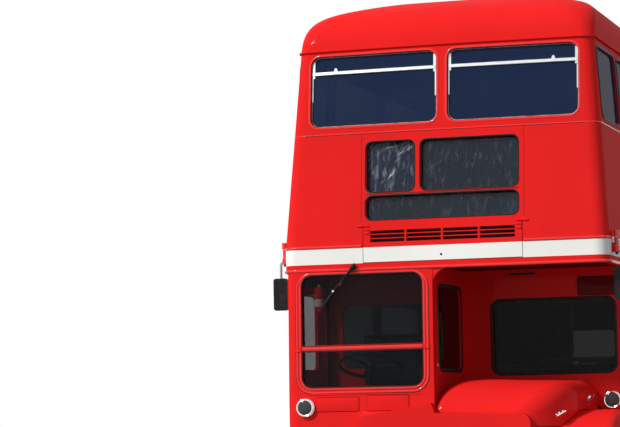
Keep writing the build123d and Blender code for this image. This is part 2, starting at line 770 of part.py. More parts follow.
# Cab wall beside the bonnet, its window looking across the engine
with BuildPart() as cab_inner_wall:
    with BuildSketch(Plane.XY.offset(lower_floor_z - floor_thick)):
        with Locations((cab_near_x - wall / 2, (cab_y + wall + cab_rake + 1 + bulk_y) / 2)):
            Rectangle(wall, bulk_y - cab_y - wall - cab_rake - 1)
    extrude(amount=rail_z + 20 - lower_floor_z + floor_thick)
    extrude(side_opening(cab_window, 0, 0), amount=-half_width, mode=Mode.SUBTRACT)
finish(cab_inner_wall, "cab_inner_wall")

with BuildPart() as cab_side_glass:
    cab_glass_x = cab_near_x - (wall - glass_thick) / 2
    extrude(side_opening(cab_window, cab_glass_x, -seat_gap), amount=-glass_thick)
finish(cab_side_glass, "cab_side_glass")

with BuildPart() as cab_floor:
    with BuildSketch(Plane.XY.offset(cab_floor_z - cab_floor_thick)):
        cab_floor_x0 = -inner_half
        cab_floor_x1 = cab_near_x - wall
        with Locations(((cab_floor_x0 + cab_floor_x1) / 2, (cab_y + wall + bulk_y) / 2)):
            Rectangle(cab_floor_x1 - cab_floor_x0, bulk_y - cab_y - wall)
    extrude(amount=cab_floor_thick)
finish(cab_floor, "cab_floor")

# Nearside front wing over the wheel
wing_x0 = cowl_x1 + 5


def wing_profile(plane, grow):
    """Side view of the wing, larger over its crown by grow."""
    with BuildSketch(plane) as profile:
        with BuildLine():
            Polyline((cab_y + 20, cowl_low_z), (cab_y + 5, 760), (cab_y + 45, 980 + grow))
            ThreePointArc((cab_y + 45, 980 + grow), (cab_y + 400, 1180 + grow),
                          (bulk_y, 1130 + grow))
            Polyline((bulk_y, 1130 + grow), (bulk_y, cowl_low_z), (cab_y + 20, cowl_low_z))
        make_face()
    return profile.sketch


with BuildPart() as wing_near:
    extrude(wing_profile(Plane.YZ.offset(wing_x0), 0), amount=lower_half - wing_x0)
    with BuildSketch(Plane.YZ.offset(wing_x0)):
        with Locations((front_axle_y, tyre_radius)):
            Circle(arch_radius)
        with Locations((front_axle_y, tyre_radius / 2)):
            Rectangle(2 * arch_radius, tyre_radius)
    extrude(amount=lower_half - wing_x0, mode=Mode.SUBTRACT)
    outer_edges = wing_near.edges().filter_by_position(Axis.X, lower_half - 1, lower_half + 1)
    fillet(outer_edges.sort_by(Axis.Z)[-1:], 60)
finish(wing_near, "wing_near")

# Bonnet sections, front to back: place behind the cab front, left x, right x,
# top height, left corner radius, right corner radius
bonnet_off_x = cab_near_x + seat_gap
bonnet_sections = [
    (bonnet_gap, bonnet_off_x, 560, 1225, 60, 60),
    (130, bonnet_off_x, 760, 1395, 130, 110),
    (380, bonnet_off_x, 880, 1462, 190, 120),
    (560, bonnet_off_x, 903, 1466, 192, 120),
    (780, bonnet_off_x, 918, 1469, 194, 120),
    (bulkhead_y - bonnet_gap, bonnet_off_x, bonnet_near_x, bonnet_top_z, 195, 120),
]


def bonnet_outline(section, inset):
    """Bonnet profile at one section, set in by the skin."""
    place, left, right, top, left_round, right_round = section
    low_z = bonnet_low_z - inset
    with BuildSketch(Plane.XZ.offset(-(cab_y + place))) as outline:
        with BuildLine():
            Polyline((left + inset, low_z), (left + inset, top - inset),
                     (right - inset, top - 45 - inset), (right - inset, low_z), close=True)
        make_face()
        left_top = outline.vertices().sort_by_distance((left + inset, top - inset))
        fillet(left_top[0], left_round - inset)
        right_top = outline.vertices().sort_by_distance((right - inset, top - 45 - inset))
        fillet(right_top[0], right_round - inset)
    return outline.sketch


with BuildPart() as bonnet_shell:
    loft(sections=[bonnet_outline(section, 0) for section in bonnet_sections])
    loft(sections=[bonnet_outline(section, bonnet_skin) for section in bonnet_sections],
         mode=Mode.SUBTRACT)


def hinge_barrels(starts, grow):
    """Round knuckles along the bonnet's hinge line, larger all round by grow."""
    with BuildPart() as barrels:
        for start in starts:
            with BuildSketch(Plane.XZ.offset(-(bulk_y - start - barrel_length - grow))):
                with Locations((hinge_x, hinge_z)):
                    Circle(knuckle_radius + grow)
            extrude(amount=-barrel_length - 2 * grow)
    return barrels.part


# Knuckles by their distance in front of the bulkhead, turn and turn about
barrel_length = 60
barrel_starts = [40 + index * (barrel_length + hinge_gap) for index in range(7)]
fixed_starts = barrel_starts[0::2]
moving_starts = barrel_starts[1::2]

with BuildPart() as bonnet:
    add(bonnet_shell.part)
    split(bisect_by=Plane.YZ.offset(hinge_x), keep=Keep.TOP)
    add(hinge_barrels(fixed_starts, hinge_gap), mode=Mode.SUBTRACT)
    add(hinge_barrels(moving_starts, 0))
    extrude(wing_profile(Plane.YZ.offset(wing_x0 - bonnet_gap), bonnet_gap), amount=half_width,
            mode=Mode.SUBTRACT)
finish(bonnet, "bonnet")

with BuildPart() as bonnet_fillet:
    add(bonnet_shell.part)
    split(bisect_by=Plane.YZ.offset(hinge_x - hinge_gap), keep=Keep.BOTTOM)
    add(hinge_barrels(moving_starts, hinge_gap), mode=Mode.SUBTRACT)
    add(hinge_barrels(fixed_starts, 0))
finish(bonnet_fillet, "bonnet_fillet")

# Radiator cowl with a rounded mouth, and the grille inside it
with BuildPart() as radiator_cowl:
    with BuildSketch(Plane.XZ.offset(-front_y)) as cowl_face:
        with BuildLine():
            Polyline((cowl_x0, cowl_low_z), (cowl_x0, 1190), (-90, 1285), (-62, 1212),
                     (cowl_x1, 1200), (cowl_x1, cowl_low_z), close=True)
        make_face()
        fillet(cowl_face.vertices().sort_by_distance((cowl_x0, 1190))[0], 75)
        fillet(cowl_face.vertices().sort_by_distance((cowl_x1, 1200))[0], 75)
        with Locations(((grille_x0 + grille_x1) / 2, (grille_low_z + grille_top_z) / 2)):
            RectangleRounded(grille_x1 - grille_x0, grille_top_z - grille_low_z, 60,
                             mode=Mode.SUBTRACT)
    extrude(amount=-cowl_depth)
finish(radiator_cowl, "radiator_cowl")

slat_count = 16
with BuildPart() as radiator_grille:
    slat_pitch = (grille_top_z - grille_low_z) / slat_count
    with BuildSketch(Plane.XZ.offset(-(front_y + 12))):
        with Locations(((grille_x0 + grille_x1) / 2, (grille_low_z + grille_top_z) / 2)):
            RectangleRounded(grille_x1 - grille_x0 - 1, grille_top_z - grille_low_z - 1, 59.5)
            RectangleRounded(grille_x1 - grille_x0 - 41, grille_top_z - grille_low_z - 41, 40,
                             mode=Mode.SUBTRACT)
            Rectangle(36, grille_top_z - grille_low_z - 30)
            with GridLocations(0, slat_pitch, 1, slat_count - 1):
                Rectangle(grille_x1 - grille_x0 - 30, 9)
    extrude(amount=-28)
finish(radiator_grille, "radiator_grille")

# Chassis rails and cross members
rail_x = 530
rail_width = 60
rail_low_z = 460
rail_end_y = rear_axle_y - 200
tow_y = cab_y + 105
tow_radius = 18
tow_ring = 45
tow_thick = 25
with BuildPart() as chassis_frame:
    with BuildSketch(Plane.XY.offset(rail_low_z)):
        with Locations((0, (cab_y + 150 + rail_end_y) / 2)):
            with GridLocations(2 * rail_x, 0, 2, 1):
                Rectangle(rail_width, rail_end_y - cab_y - 150)
        for member_y in (cab_y + 180, bulk_y + 300, bulk_y + 1500, bulk_y + 2700, rail_end_y - 40):
            with Locations((0, member_y)):
                Rectangle(2 * rail_x, 60)
    extrude(amount=lower_floor_z - floor_thick - rail_low_z)
    with BuildSketch(Plane.XY.offset(rail_low_z - tow_thick)):
        with GridLocations(2 * rail_x, 0, 2, 1):
            with Locations((0, tow_y)):
                Circle(tow_ring)
            with Locations((0, tow_y + 80)):
                Rectangle(2 * tow_ring, 160)
            with Locations((0, tow_y)):
                Circle(tow_radius, mode=Mode.SUBTRACT)
    extrude(amount=tow_thick)
finish(chassis_frame, "chassis_frame")

with BuildPart() as engine_block:
    with BuildSketch(Plane.XY.offset(rail_low_z + 45)):
        with Locations((225, cab_y + 600)):
            Rectangle(470, 660)
    extrude(amount=640)
    with BuildSketch(Plane.XY.offset(rail_low_z + 60)):
        with Locations((0, cab_y + 560)):
            Rectangle(2 * rail_x - rail_width, 120)
    extrude(amount=60)
finish(engine_block, "engine_block")

with BuildPart() as fuel_tank:
    with BuildSketch(Plane.YZ.offset(-inner_half)) as tank_side:
        with Locations((bulk_y + 2100, 470)):
            RectangleRounded(900, 300, 60)
    extrude(amount=450)
finish(fuel_tank, "fuel_tank")

# Front axle: dropped beam with a kingpin boss at each end
boss_radius = 40
beam_z = tyre_radius
with BuildPart() as front_axle:
    with BuildSketch(Plane.XZ.offset(-(front_axle_y - 45))):
        with BuildLine():
            Polyline((-kingpin_x, beam_z + 40), (-680, beam_z + 40), (-600, beam_z - 58),
                     (600, beam_z - 58), (680, beam_z + 40), (kingpin_x, beam_z + 40),
                     (kingpin_x, beam_z - 40), (720, beam_z - 40), (640, beam_z - 128),
                     (-640, beam_z - 128), (-720, beam_z - 40), (-kingpin_x, beam_z - 40),
                     close=True)
        make_face()
    extrude(amount=-90)
    for side in (1, -1):
        with BuildSketch(Plane.XY.offset(beam_z - 68)):
            with Locations((side * kingpin_x, front_axle_y)):
                Circle(boss_radius)
        extrude(amount=136)
        with BuildSketch(Plane.XY.offset(beam_z - 110)):
            with Locations((side * kingpin_x, front_axle_y)):
                Circle(kingpin_radius)
        extrude(amount=220)
        with BuildSketch(Plane.XY.offset(beam_z - 58)):
            with Locations((side * rail_x, front_axle_y)):
                Rectangle(rail_width, 200)
        extrude(amount=rail_low_z - beam_z + 58)
finish(front_axle, "front_axle")

# Steering knuckle on each kingpin, with the stub that carries the wheel
stub_end_x = front_wheel_x + 70
ear_thick = 24
ear_radius = 46
for side, label in ((1, "knuckle_near"), (-1, "knuckle_off")):
    with BuildPart() as knuckle:
        for ear_z in (beam_z - 71 - ear_thick, beam_z + 71):
            with BuildSketch(Plane.XY.offset(ear_z)):
                with Locations((side * kingpin_x, front_axle_y)):
                    Circle(ear_radius)
                with Locations((side * (kingpin_x + 35), front_axle_y)):
                    Rectangle(70, 2 * ear_radius)
                with Locations((side * kingpin_x, front_axle_y)):
                    Circle(kingpin_radius + knuckle_clear, mode=Mode.SUBTRACT)
            extrude(amount=ear_thick)
        with BuildSketch(Plane.YZ.offset(side * (kingpin_x + 50))):
            with Locations((front_axle_y, beam_z)):
                Rectangle(2 * ear_radius, 142 + 2 * ear_thick)
        extrude(amount=side * 20)
        with BuildSketch(Plane.YZ.offset(side * (kingpin_x + 70))):
            with Locations((front_axle_y, tyre_radius)):
                Circle(stub_radius)
        extrude(amount=side * (stub_end_x - kingpin_x - 70))
    finish(knuckle, label)

# Rear axle: tube, differential and the stubs that carry the twin wheels
rear_stub_end_x = rear_wheel_x + 150
with BuildPart() as rear_axle:
    with BuildSketch(Plane.YZ.offset(-rail_x - 50)):
        with Locations((rear_axle_y, tyre_radius)):
            Circle(75)
    extrude(amount=2 * rail_x + 100)
    with BuildSketch(Plane.YZ.offset(-rear_stub_end_x)):
        with Locations((rear_axle_y, tyre_radius)):
            Circle(rear_stub_radius)
    extrude(amount=2 * rear_stub_end_x)
    with BuildSketch(Plane.YZ.offset(-240)):
        with Locations((rear_axle_y, tyre_radius)):
            Circle(108)
    extrude(amount=220)
    with BuildSketch(Plane.XY.offset(tyre_radius)):
        with Locations((0, rear_axle_y)):
            with GridLocations(2 * rail_x - 80, 0, 2, 1):
                Circle(60)
    extrude(amount=lower_floor_z - floor_thick - tyre_radius)
finish(rear_axle, "rear_axle")


def tyre_profile(centre_x, wheel_y):
    """Half section of a tyre, drawn beside its axle line."""
    half = tyre_width / 2
    with BuildSketch(Plane.XY.offset(tyre_radius)) as section:
        with BuildLine():
            Polyline((centre_x - half + 30, wheel_y + rim_radius),
                     (centre_x - half, wheel_y + 380), (centre_x - half + 18, wheel_y + 478),
                     (centre_x - 90, wheel_y + tyre_radius), (centre_x + 90, wheel_y + tyre_radius),
                     (centre_x + half - 18, wheel_y + 478), (centre_x + half, wheel_y + 380),
                     (centre_x + half - 30, wheel_y + rim_radius), close=True)
        make_face()
    return section.sketch


# Tyres: label, centres across the vehicle, axle place
tyre_table = [
    ("front_tyre_near", (front_wheel_x,), front_axle_y),
    ("front_tyre_off", (-front_wheel_x,), front_axle_y),
    ("rear_tyres_near", (rear_wheel_x - twin_spacing / 2, rear_wheel_x + twin_spacing / 2),
     rear_axle_y),
    ("rear_tyres_off", (-rear_wheel_x + twin_spacing / 2, -rear_wheel_x - twin_spacing / 2),
     rear_axle_y),
]
for label, centres, wheel_y in tyre_table:
    with BuildPart() as tyres:
        for centre_x in centres:
            revolve(tyre_profile(centre_x, wheel_y),
                    axis=Axis((0, wheel_y, tyre_radius), (1, 0, 0)))
    finish(tyres, label)

# Front rims: dished disc near the outer face, deep cavity round the knuckle
for side, label in ((1, "front_rim_near"), (-1, "front_rim_off")):
    with BuildPart() as front_rim:
        with BuildSketch(Plane.XY.offset(tyre_radius)) as rim_section:
            with BuildLine():
                Polyline((side * 920, front_axle_y + 250), (side * 920, front_axle_y + rim_radius),
                         (side * 1140, front_axle_y + rim_radius), (side * 1140, front_axle_y + 246),
                         (side * 1110, front_axle_y + 236), (side * 1095, front_axle_y + 120),
                         (side * 1125, front_axle_y + hub_radius), (side * 1140, front_axle_y + 60),
                         (side * 1140, front_axle_y), (side * (stub_end_x + 1), front_axle_y),
                         (side * (stub_end_x + 1), front_axle_y + stub_radius + axle_clear),
                         (side * 975, front_axle_y + stub_radius + axle_clear),
                         (side * 975, front_axle_y + hub_radius - 10),
                         (side * 1080, front_axle_y + hub_radius),
                         (side * 1080, front_axle_y + 250), close=True)
            make_face()
        revolve(axis=Axis((0, front_axle_y, tyre_radius), (1, 0, 0)))
    finish(front_rim, label)

# Rear rims: two discs back to back on one hub
for side, label in ((1, "rear_rims_near"), (-1, "rear_rims_off")):
    inner = rear_wheel_x - twin_spacing / 2 - 110
    outer = rear_wheel_x + twin_spacing / 2 + 110
    with BuildPart() as rear_rims:
        with BuildSketch(Plane.XY.offset(tyre_radius)):
            with BuildLine():
                Polyline((side * inner, rear_axle_y + 250), (side * inner, rear_axle_y + rim_radius),
                         (side * outer, rear_axle_y + rim_radius), (side * outer, rear_axle_y + 250),
                         (side * (rear_wheel_x + 25), rear_axle_y + 240),
                         (side * (rear_wheel_x + 25), rear_axle_y + 150),
                         (side * (outer - 30), rear_axle_y + 140), (side * outer, rear_axle_y + 90),
                         (side * outer, rear_axle_y),
                         (side * (rear_stub_end_x + 1), rear_axle_y),
                         (side * (rear_stub_end_x + 1), rear_axle_y + rear_stub_radius + axle_clear),
                         (side * (inner + 60), rear_axle_y + rear_stub_radius + axle_clear),
                         (side * (inner + 60), rear_axle_y + 120),
                         (side * (rear_wheel_x - 25), rear_axle_y + 120),
                         (side * (rear_wheel_x - 25), rear_axle_y + 240), close=True)
            make_face()
        revolve(axis=Axis((0, rear_axle_y, tyre_radius), (1, 0, 0)))
    finish(rear_rims, label)

# Seats: deck floor height, side, first row, last row, row count, outer x
bench_y0 = rear_axle_y - 850
bench_length = 1640
seat_table = [
    (upper_floor_z, 1, cab_y + 620, rear_y - 1050, 10, 1085),
    (upper_floor_z, -1, cab_y + 620, flight_end_y - 1010, 8, 1085),
    (lower_floor_z, 1, bulk_y + 420, bench_y0 - 631, 5, 1140),
    (lower_floor_z, -1, bulk_y + 420, bench_y0 - 631, 5, 1140),
]
bench_z = tyre_radius + rear_arch_radius + box_wall
with BuildPart() as seat_frames:
    for floor_z, side, first_y, last_y, rows, outer_x in seat_table:
        middle_x = side * (outer_x - seat_width / 2)
        for row in range(rows):
            row_y = first_y + row * (last_y - first_y) / (rows - 1)
            pan_z = floor_z + cushion_height - cushion_thick - 25
            with BuildSketch(Plane.XY.offset(pan_z)):
                with Locations((middle_x, row_y + cushion_depth / 2)):
                    Rectangle(seat_width - 40, cushion_depth - 20)
            extrude(amount=25 - seat_gap)
            with BuildSketch(Plane.XY.offset(floor_z)):
                with Locations((middle_x, row_y + cushion_depth / 2)):
                    with GridLocations(seat_width - 200, 0, 2, 1):
                        Rectangle(40, cushion_depth - 100)
            extrude(amount=pan_z - floor_z)
finish(seat_frames, "seat_frames")

with BuildPart() as seat_cushions:
    for floor_z, side, first_y, last_y, rows, outer_x in seat_table:
        for row in range(rows):
            row_y = first_y + row * (last_y - first_y) / (rows - 1)
            seat_z = floor_z + cushion_height
            with BuildSketch(Plane.YZ.offset(side * (outer_x - seat_width))):
                with BuildLine():
                    Polyline((row_y, seat_z - cushion_thick), (row_y, seat_z),
                             (row_y + cushion_depth - 10, seat_z - 15),
                             (row_y + cushion_depth + 45, floor_z + back_height),
                             (row_y + cushion_depth + 45 + back_thick, floor_z + back_height),
                             (row_y + cushion_depth + back_thick, seat_z - cushion_thick),
                             close=True)
                make_face()
            extrude(amount=side * seat_width)
    for side in (1, -1):
        with BuildSketch(Plane.XY.offset(bench_z)):
            with Locations((side * (inner_half - 15 - 235), bench_y0 + bench_length / 2)):
                Rectangle(470, bench_length)
        extrude(amount=cushion_thick)
finish(seat_cushions, "seat_cushions")

# Driver's seat base and the steering column with its wheel
driver_x = -640
with BuildPart() as driver_seat:
    with BuildSketch(Plane.XY.offset(cab_floor_z)):
        with Locations((driver_x, bulk_y - 260)):
            Rectangle(360, 330)
    extrude(amount=230)
    with BuildSketch(Plane.XY.offset(cab_floor_z + 230)):
        with Locations((driver_x, bulk_y - 250)):
            RectangleRounded(480, 430, 40)
    extrude(amount=100)
    with BuildSketch(Plane.XY.offset(cab_floor_z + 330)):
        with Locations((driver_x, bulk_y - 85)):
            RectangleRounded(460, 100, 40)
    extrude(amount=420)
finish(driver_seat, "driver_seat")

wheel_centre = (driver_x, cab_y + 330, cab_floor_z + 480)
column_plane = Plane(origin=wheel_centre, x_dir=(1, 0, 0), z_dir=(0, 0.35, 0.94))
with BuildPart() as steering_wheel:
    with BuildSketch(Plane(origin=wheel_centre, x_dir=(1, 0, 0), z_dir=(0, -0.94, 0.35))):
        with Locations((235, 0)):
            Circle(14)
    revolve(axis=Axis(wheel_centre, (0, 0.35, 0.94)))
    with BuildSketch(column_plane.offset(-12)):
        Circle(45)
        with PolarLocations(118, 3):
            Rectangle(240, 22)
    extrude(amount=20)
    with BuildSketch(column_plane.offset(-12)):
        Circle(24)
    extrude(amount=-505)
    split(bisect_by=Plane.XY.offset(cab_floor_z), keep=Keep.TOP)
finish(steering_wheel, "steering_wheel")

# Lamps with domed faces: x, y of the mounting face, z, radius, rim depth, dome
side_lamp_table = [
    (-1050, cab_y, 1268, 63, 26, 16),
    (1045, bulk_y, 1282, 63, 26, 16),
]
headlamp_table = [
    (-930, cab_y, 800, 105, 34, 20),
    (930, cab_y + 5, 800, 105, 34, 20),
]
for label, table in (("side_lamps", side_lamp_table), ("headlamps", headlamp_table)):
    with BuildPart() as lamps:
        for x, y, z, radius, rim, dome in table:
            ball = (radius ** 2 + dome ** 2) / (2 * dome)
            with BuildSketch(Plane.XZ.offset(-y)):
                with Locations((x, z)):
                    Circle(radius)
            extrude(amount=rim)
            with BuildSketch(Plane.XY.offset(z)):
                with BuildLine():
                    crown_y = y - rim - dome
                    half_y = crown_y + ball - sqrt(ball ** 2 - radius ** 2 / 4)
                    ThreePointArc((x, crown_y), (x + radius / 2, half_y), (x + radius, y - rim))
                    Polyline((x + radius, y - rim), (x, y - rim), (x, crown_y))
                make_face()
            revolve(axis=Axis((x, y, z), (0, 1, 0)))
    finish(lamps, label)

with BuildPart() as tail_lamps:
    with BuildSketch(Plane.XZ.offset(-rear_y)):
        with Locations(*tail_lamp_places):
            Circle(tail_lamp_radius)
    extrude(amount=wall)
finish(tail_lamps, "tail_lamps")

# Mirrors on brackets at both front corners
mirror_reach = 1340
mirror_arm_y = cab_y + 200
mirror_arm_z = (band_z + band_top_z) / 2
mirror_arm_radius = 8
mirror_head_width = 110
mirror_head_height = 240
mirror_drop = 160
mirror_bend = 50
with BuildPart() as mirrors:
    for side in (1, -1):
        mirror_x = side * (mirror_reach - mirror_head_width / 2)
        with BuildLine() as arm:
            FilletPolyline((side * half_width, mirror_arm_y, mirror_arm_z),
                           (mirror_x, mirror_arm_y, mirror_arm_z),
                           (mirror_x, mirror_arm_y, mirror_arm_z - mirror_drop), radius=mirror_bend)
        with BuildSketch(Plane.YZ.offset(side * half_width)):
            with Locations((mirror_arm_y, mirror_arm_z)):
                Circle(mirror_arm_radius)
        sweep(path=arm.line)
        with BuildSketch(Plane.YZ.offset(side * half_width)):
            with Locations((mirror_arm_y, mirror_arm_z)):
                RectangleRounded(50, 70, 12)
        extrude(amount=side * 14)
        with BuildSketch(Plane.XZ.offset(-(mirror_arm_y - mirror_arm_radius - 16))):
            with Locations((mirror_x, mirror_arm_z - mirror_drop - mirror_head_height / 2 + 20)):
                RectangleRounded(mirror_head_width, mirror_head_height, 20)
        extrude(amount=-2 * mirror_arm_radius - 16)
finish(mirrors, "mirrors")

wiper_x = -670
wiper_z = 2290
rail_face = band_setback + band_bow * (wiper_x / half_width) ** 2 - seat_gap
with BuildPart() as wiper:
    with BuildSketch(Plane.XZ.offset(-(cab_y + rail_face))):
        with Locations((wiper_x, wiper_z)):
            Circle(22)
    extrude(amount=50)
    with BuildSketch(Plane.XZ.offset(-(cab_y + cab_rake - 30))):
        with BuildLine():
            Polyline((wiper_x - 8, wiper_z), (wiper_x + 8, wiper_z), (wiper_x - 240, 1990),
                     (wiper_x - 256, 1998), close=True)
        make_face()
    extrude(amount=12)
finish(wiper, "wiper")

# Grab poles on the platform
pole_radius = 16
pole_x = 1110
with BuildPart() as handrails:
    with BuildSketch(Plane.XY.offset(platform_z)):
        with Locations((pole_x, rear_y - 760)):
            Circle(pole_radius)
    extrude(amount=deck_under_z - platform_z)
    with BuildSketch(Plane.XY.offset(lower_floor_z)):
        with Locations((pole_x, platform_y - 60), (-stair_width + 200, platform_y - 60)):
            Circle(pole_radius)
    extrude(amount=deck_under_z - lower_floor_z)
finish(handrails, "handrails")
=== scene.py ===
import math
import random

import bmesh
import bpy
from mathutils import Matrix, Vector
from mathutils.bvhtree import BVHTree


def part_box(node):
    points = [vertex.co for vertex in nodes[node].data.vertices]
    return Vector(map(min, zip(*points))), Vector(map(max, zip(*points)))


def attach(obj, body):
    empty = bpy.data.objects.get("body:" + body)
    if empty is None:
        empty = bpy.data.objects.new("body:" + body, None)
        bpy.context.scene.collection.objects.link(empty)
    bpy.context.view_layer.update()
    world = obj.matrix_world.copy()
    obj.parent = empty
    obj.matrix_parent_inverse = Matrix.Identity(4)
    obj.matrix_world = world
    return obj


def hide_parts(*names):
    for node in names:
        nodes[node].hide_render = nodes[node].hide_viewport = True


# Looks for a half-cab double-decker bus. Metres, +X nearside, +Y rearward, +Z up.
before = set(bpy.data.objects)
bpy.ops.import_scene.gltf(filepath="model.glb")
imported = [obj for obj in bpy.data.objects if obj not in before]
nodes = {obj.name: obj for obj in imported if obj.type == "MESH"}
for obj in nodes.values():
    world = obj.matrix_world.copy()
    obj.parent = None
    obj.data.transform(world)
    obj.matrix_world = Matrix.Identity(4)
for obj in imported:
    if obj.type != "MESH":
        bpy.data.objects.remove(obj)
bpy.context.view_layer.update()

# Directions
ahead, back = Vector((0, -1, 0)), Vector((0, 1, 0))
up, down = Vector((0, 0, 1)), Vector((0, 0, -1))
sides = ("near", "off")

# Places read from the frame
cab_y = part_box("cab_shell")[0].y
bulkhead_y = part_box("front_bulkhead")[0].y
rear_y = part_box("lower_rear")[1].y
half_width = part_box("cream_band")[1].x
rail_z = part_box("canopy_rail")[0].z
band_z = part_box("cream_band")[0].z
band_top_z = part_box("cream_band")[1].z
gutter_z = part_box("upper_front")[1].z
front_axle_y = (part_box("front_tyre_near")[0].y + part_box("front_tyre_near")[1].y) / 2
rear_axle_y = (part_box("rear_tyres_near")[0].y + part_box("rear_tyres_near")[1].y) / 2
tyre_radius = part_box("front_tyre_near")[1].z / 2

# Window and panel places, as real sizes
joint_z = 3.281
front_windows = [(-1.015, 3.344, -0.040, 3.882), (0.040, 3.344, 1.015, 3.882)]
front_window_corner = 0.070
blind_windows = [(-0.577, 2.842, -0.210, 3.215), (-0.162, 2.842, 0.568, 3.215),
                 (-0.577, 2.637, 0.568, 2.810)]
blind_corner = 0.045
screen = (-1.072, 1.414, -0.157, 2.236)
screen_corner = 0.075
screen_bar_z = 1.698
upper_sill_z, upper_head_z = 3.335, 3.860
lower_sill_z, lower_head_z = 1.425, 2.110
window_corner = 0.060
bay_start, bay_pitch, bay_count, pillar = 1.045, 1.422, 4, 0.090
first_window = (cab_y + 0.300, cab_y + bay_start - pillar / 2)
bays = [(cab_y + bay_start + n * bay_pitch + pillar / 2,
         cab_y + bay_start + (n + 1) * bay_pitch - pillar / 2) for n in range(bay_count)]
platform_y = bays[-1][1] + pillar
last_window = (platform_y, platform_y + 0.900)
upper_windows = [first_window] + bays + [last_window]
wind_down_bays = (1, 3)
bulkhead_window = (0.140, 1.500, 1.075, 2.045)
cab_side_window = (cab_y + 0.190, 1.535, cab_y + 0.890, 2.135)
grille_row_z = (2.4965, 2.5275)
grille_span = 0.550
flap_top, flap_edge = 2.590, 0.608
mirror_head_z = 2.2365
door_slide, door_clearance = 0.590, 0.020
door_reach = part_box("cab_door")[1].y + door_slide + door_clearance

# Lamps: mounting faces at the offside and the nearside, and rim depths
lamp_faces = {"side_lamps": (cab_y, bulkhead_y), "headlamps": (cab_y, cab_y + 0.005)}
lamp_rims = {"side_lamps": 0.026, "headlamps": 0.034}


# Materials
def principled(name, colour, rough=0.4, metal=0.0, coat=0.0, alpha=1.0, sheen=0.0, spec=0.5):
    """A new node material with its shader's fixed values set."""
    made = bpy.data.materials.new(name)
    made.use_nodes = True
    shader = made.node_tree.nodes["Principled BSDF"]
    shader.inputs["Base Color"].default_value = (*colour, 1)
    shader.inputs["Roughness"].default_value = rough
    shader.inputs["Metallic"].default_value = metal
    shader.inputs["Coat Weight"].default_value = coat
    shader.inputs["Coat Roughness"].default_value = 0.06
    shader.inputs["Sheen Weight"].default_value = sheen
    shader.inputs["Specular IOR Level"].default_value = spec
    shader.inputs["Alpha"].default_value = alpha
    return made, made.node_tree, shader


def add_node(tree, kind, *inputs):
    """A new node; each of inputs is a socket's name or number with its value or source."""
    node = tree.nodes.new("ShaderNode" + kind)
    for key, value in inputs:
        if isinstance(value, bpy.types.NodeSocket):
            tree.links.new(value, node.inputs[key])
        else:
            node.inputs[key].default_value = value
    return node


def coordinates(tree, scale=(1, 1, 1), turn=(0, 0, 0)):
    """Object coordinates, stretched by scale and turned."""
    place = add_node(tree, "TexCoord").outputs["Object"]
    return add_node(tree, "Mapping", ("Vector", place), ("Rotation", turn),
                    ("Scale", scale)).outputs["Vector"]


def noise(tree, scale, detail=3.0, stretch=(1, 1, 1), turn=(0, 0, 0)):
    """A noise texture's value."""
    return add_node(tree, "TexNoise", ("Vector", coordinates(tree, stretch, turn)),
                    ("Scale", scale), ("Detail", detail)).outputs["Fac"]


def ramp(tree, value, low, high, low_to=0.0, high_to=1.0):
    """value remapped from low..high to low_to..high_to, clamped."""
    return add_node(tree, "MapRange", ("Value", value), ("From Min", low), ("From Max", high),
                    ("To Min", low_to), ("To Max", high_to)).outputs["Result"]


def blend_colour(tree, factor, first, second):
    """Mix of two colours, each a tuple or a socket."""
    node = add_node(tree, "Mix")
    node.data_type = "RGBA"
    tree.links.new(factor, node.inputs["Factor"])
    for side, value in (("A", first), ("B", second)):
        socket = [s for s in node.inputs if s.name == side and s.type == "RGBA"][0]
        if isinstance(value, tuple):
            socket.default_value = (*value, 1)
        else:
            tree.links.new(value, socket)
    return [s for s in node.outputs if s.type == "RGBA"][0]


def combine(tree, operation, first, second):
    """Two values put together by a plain operation."""
    node = add_node(tree, "Math", (0, first), (1, second))
    node.operation = operation
    return node.outputs["Value"]


def dress(tree, shader, colour, rough=None):
    """Feed the shader a colour and, where it varies, a roughness."""
    tree.links.new(colour, shader.inputs["Base Color"])
    if rough is not None:
        tree.links.new(rough, shader.inputs["Roughness"])


def bump(tree, shader, height, strength, distance):
    """Bump from a height value into the shader's normal."""
    node = add_node(tree, "Bump", ("Strength", strength), ("Distance", distance),
                    ("Height", height))
    tree.links.new(node.outputs["Normal"], shader.inputs["Normal"])


def shade_of(colour, factor):
    """The colour scaled by factor."""
    return tuple(min(1.0, c * factor) for c in colour)


def coach_paint(name, colour, rough=0.28, dirty=True, gloss=0.06):
    """Brushed and flatted coach enamel: soft waves, fine peel, road dirt low down."""
    made, tree, shader = principled(name, colour, rough, coat=gloss, spec=0.0)
    patches = ramp(tree, noise(tree, 1.3, 4.0), 0.35, 0.65)
    tone = blend_colour(tree, patches, shade_of(colour, 0.95), shade_of(colour, 1.03))
    if dirty:
        height = add_node(tree, "SeparateXYZ", ("Vector", coordinates(tree))).outputs["Z"]
        low = ramp(tree, height, 1.15, 0.25, 0.0, 0.55)
        grime = combine(tree, "MULTIPLY", low, ramp(tree, noise(tree, 9.0, 6.0), 0.35, 0.75))
        tone = blend_colour(tree, grime, tone, (0.10, 0.075, 0.055))
    wiped = noise(tree, 3.0, 5.0, (1, 1, 0.6))
    dress(tree, shader, tone, ramp(tree, wiped, 0.3, 0.8, rough - 0.04, rough + 0.05))
    bump(tree, shader, noise(tree, 260.0, 2.0), 0.10, 0.0006)
    return made


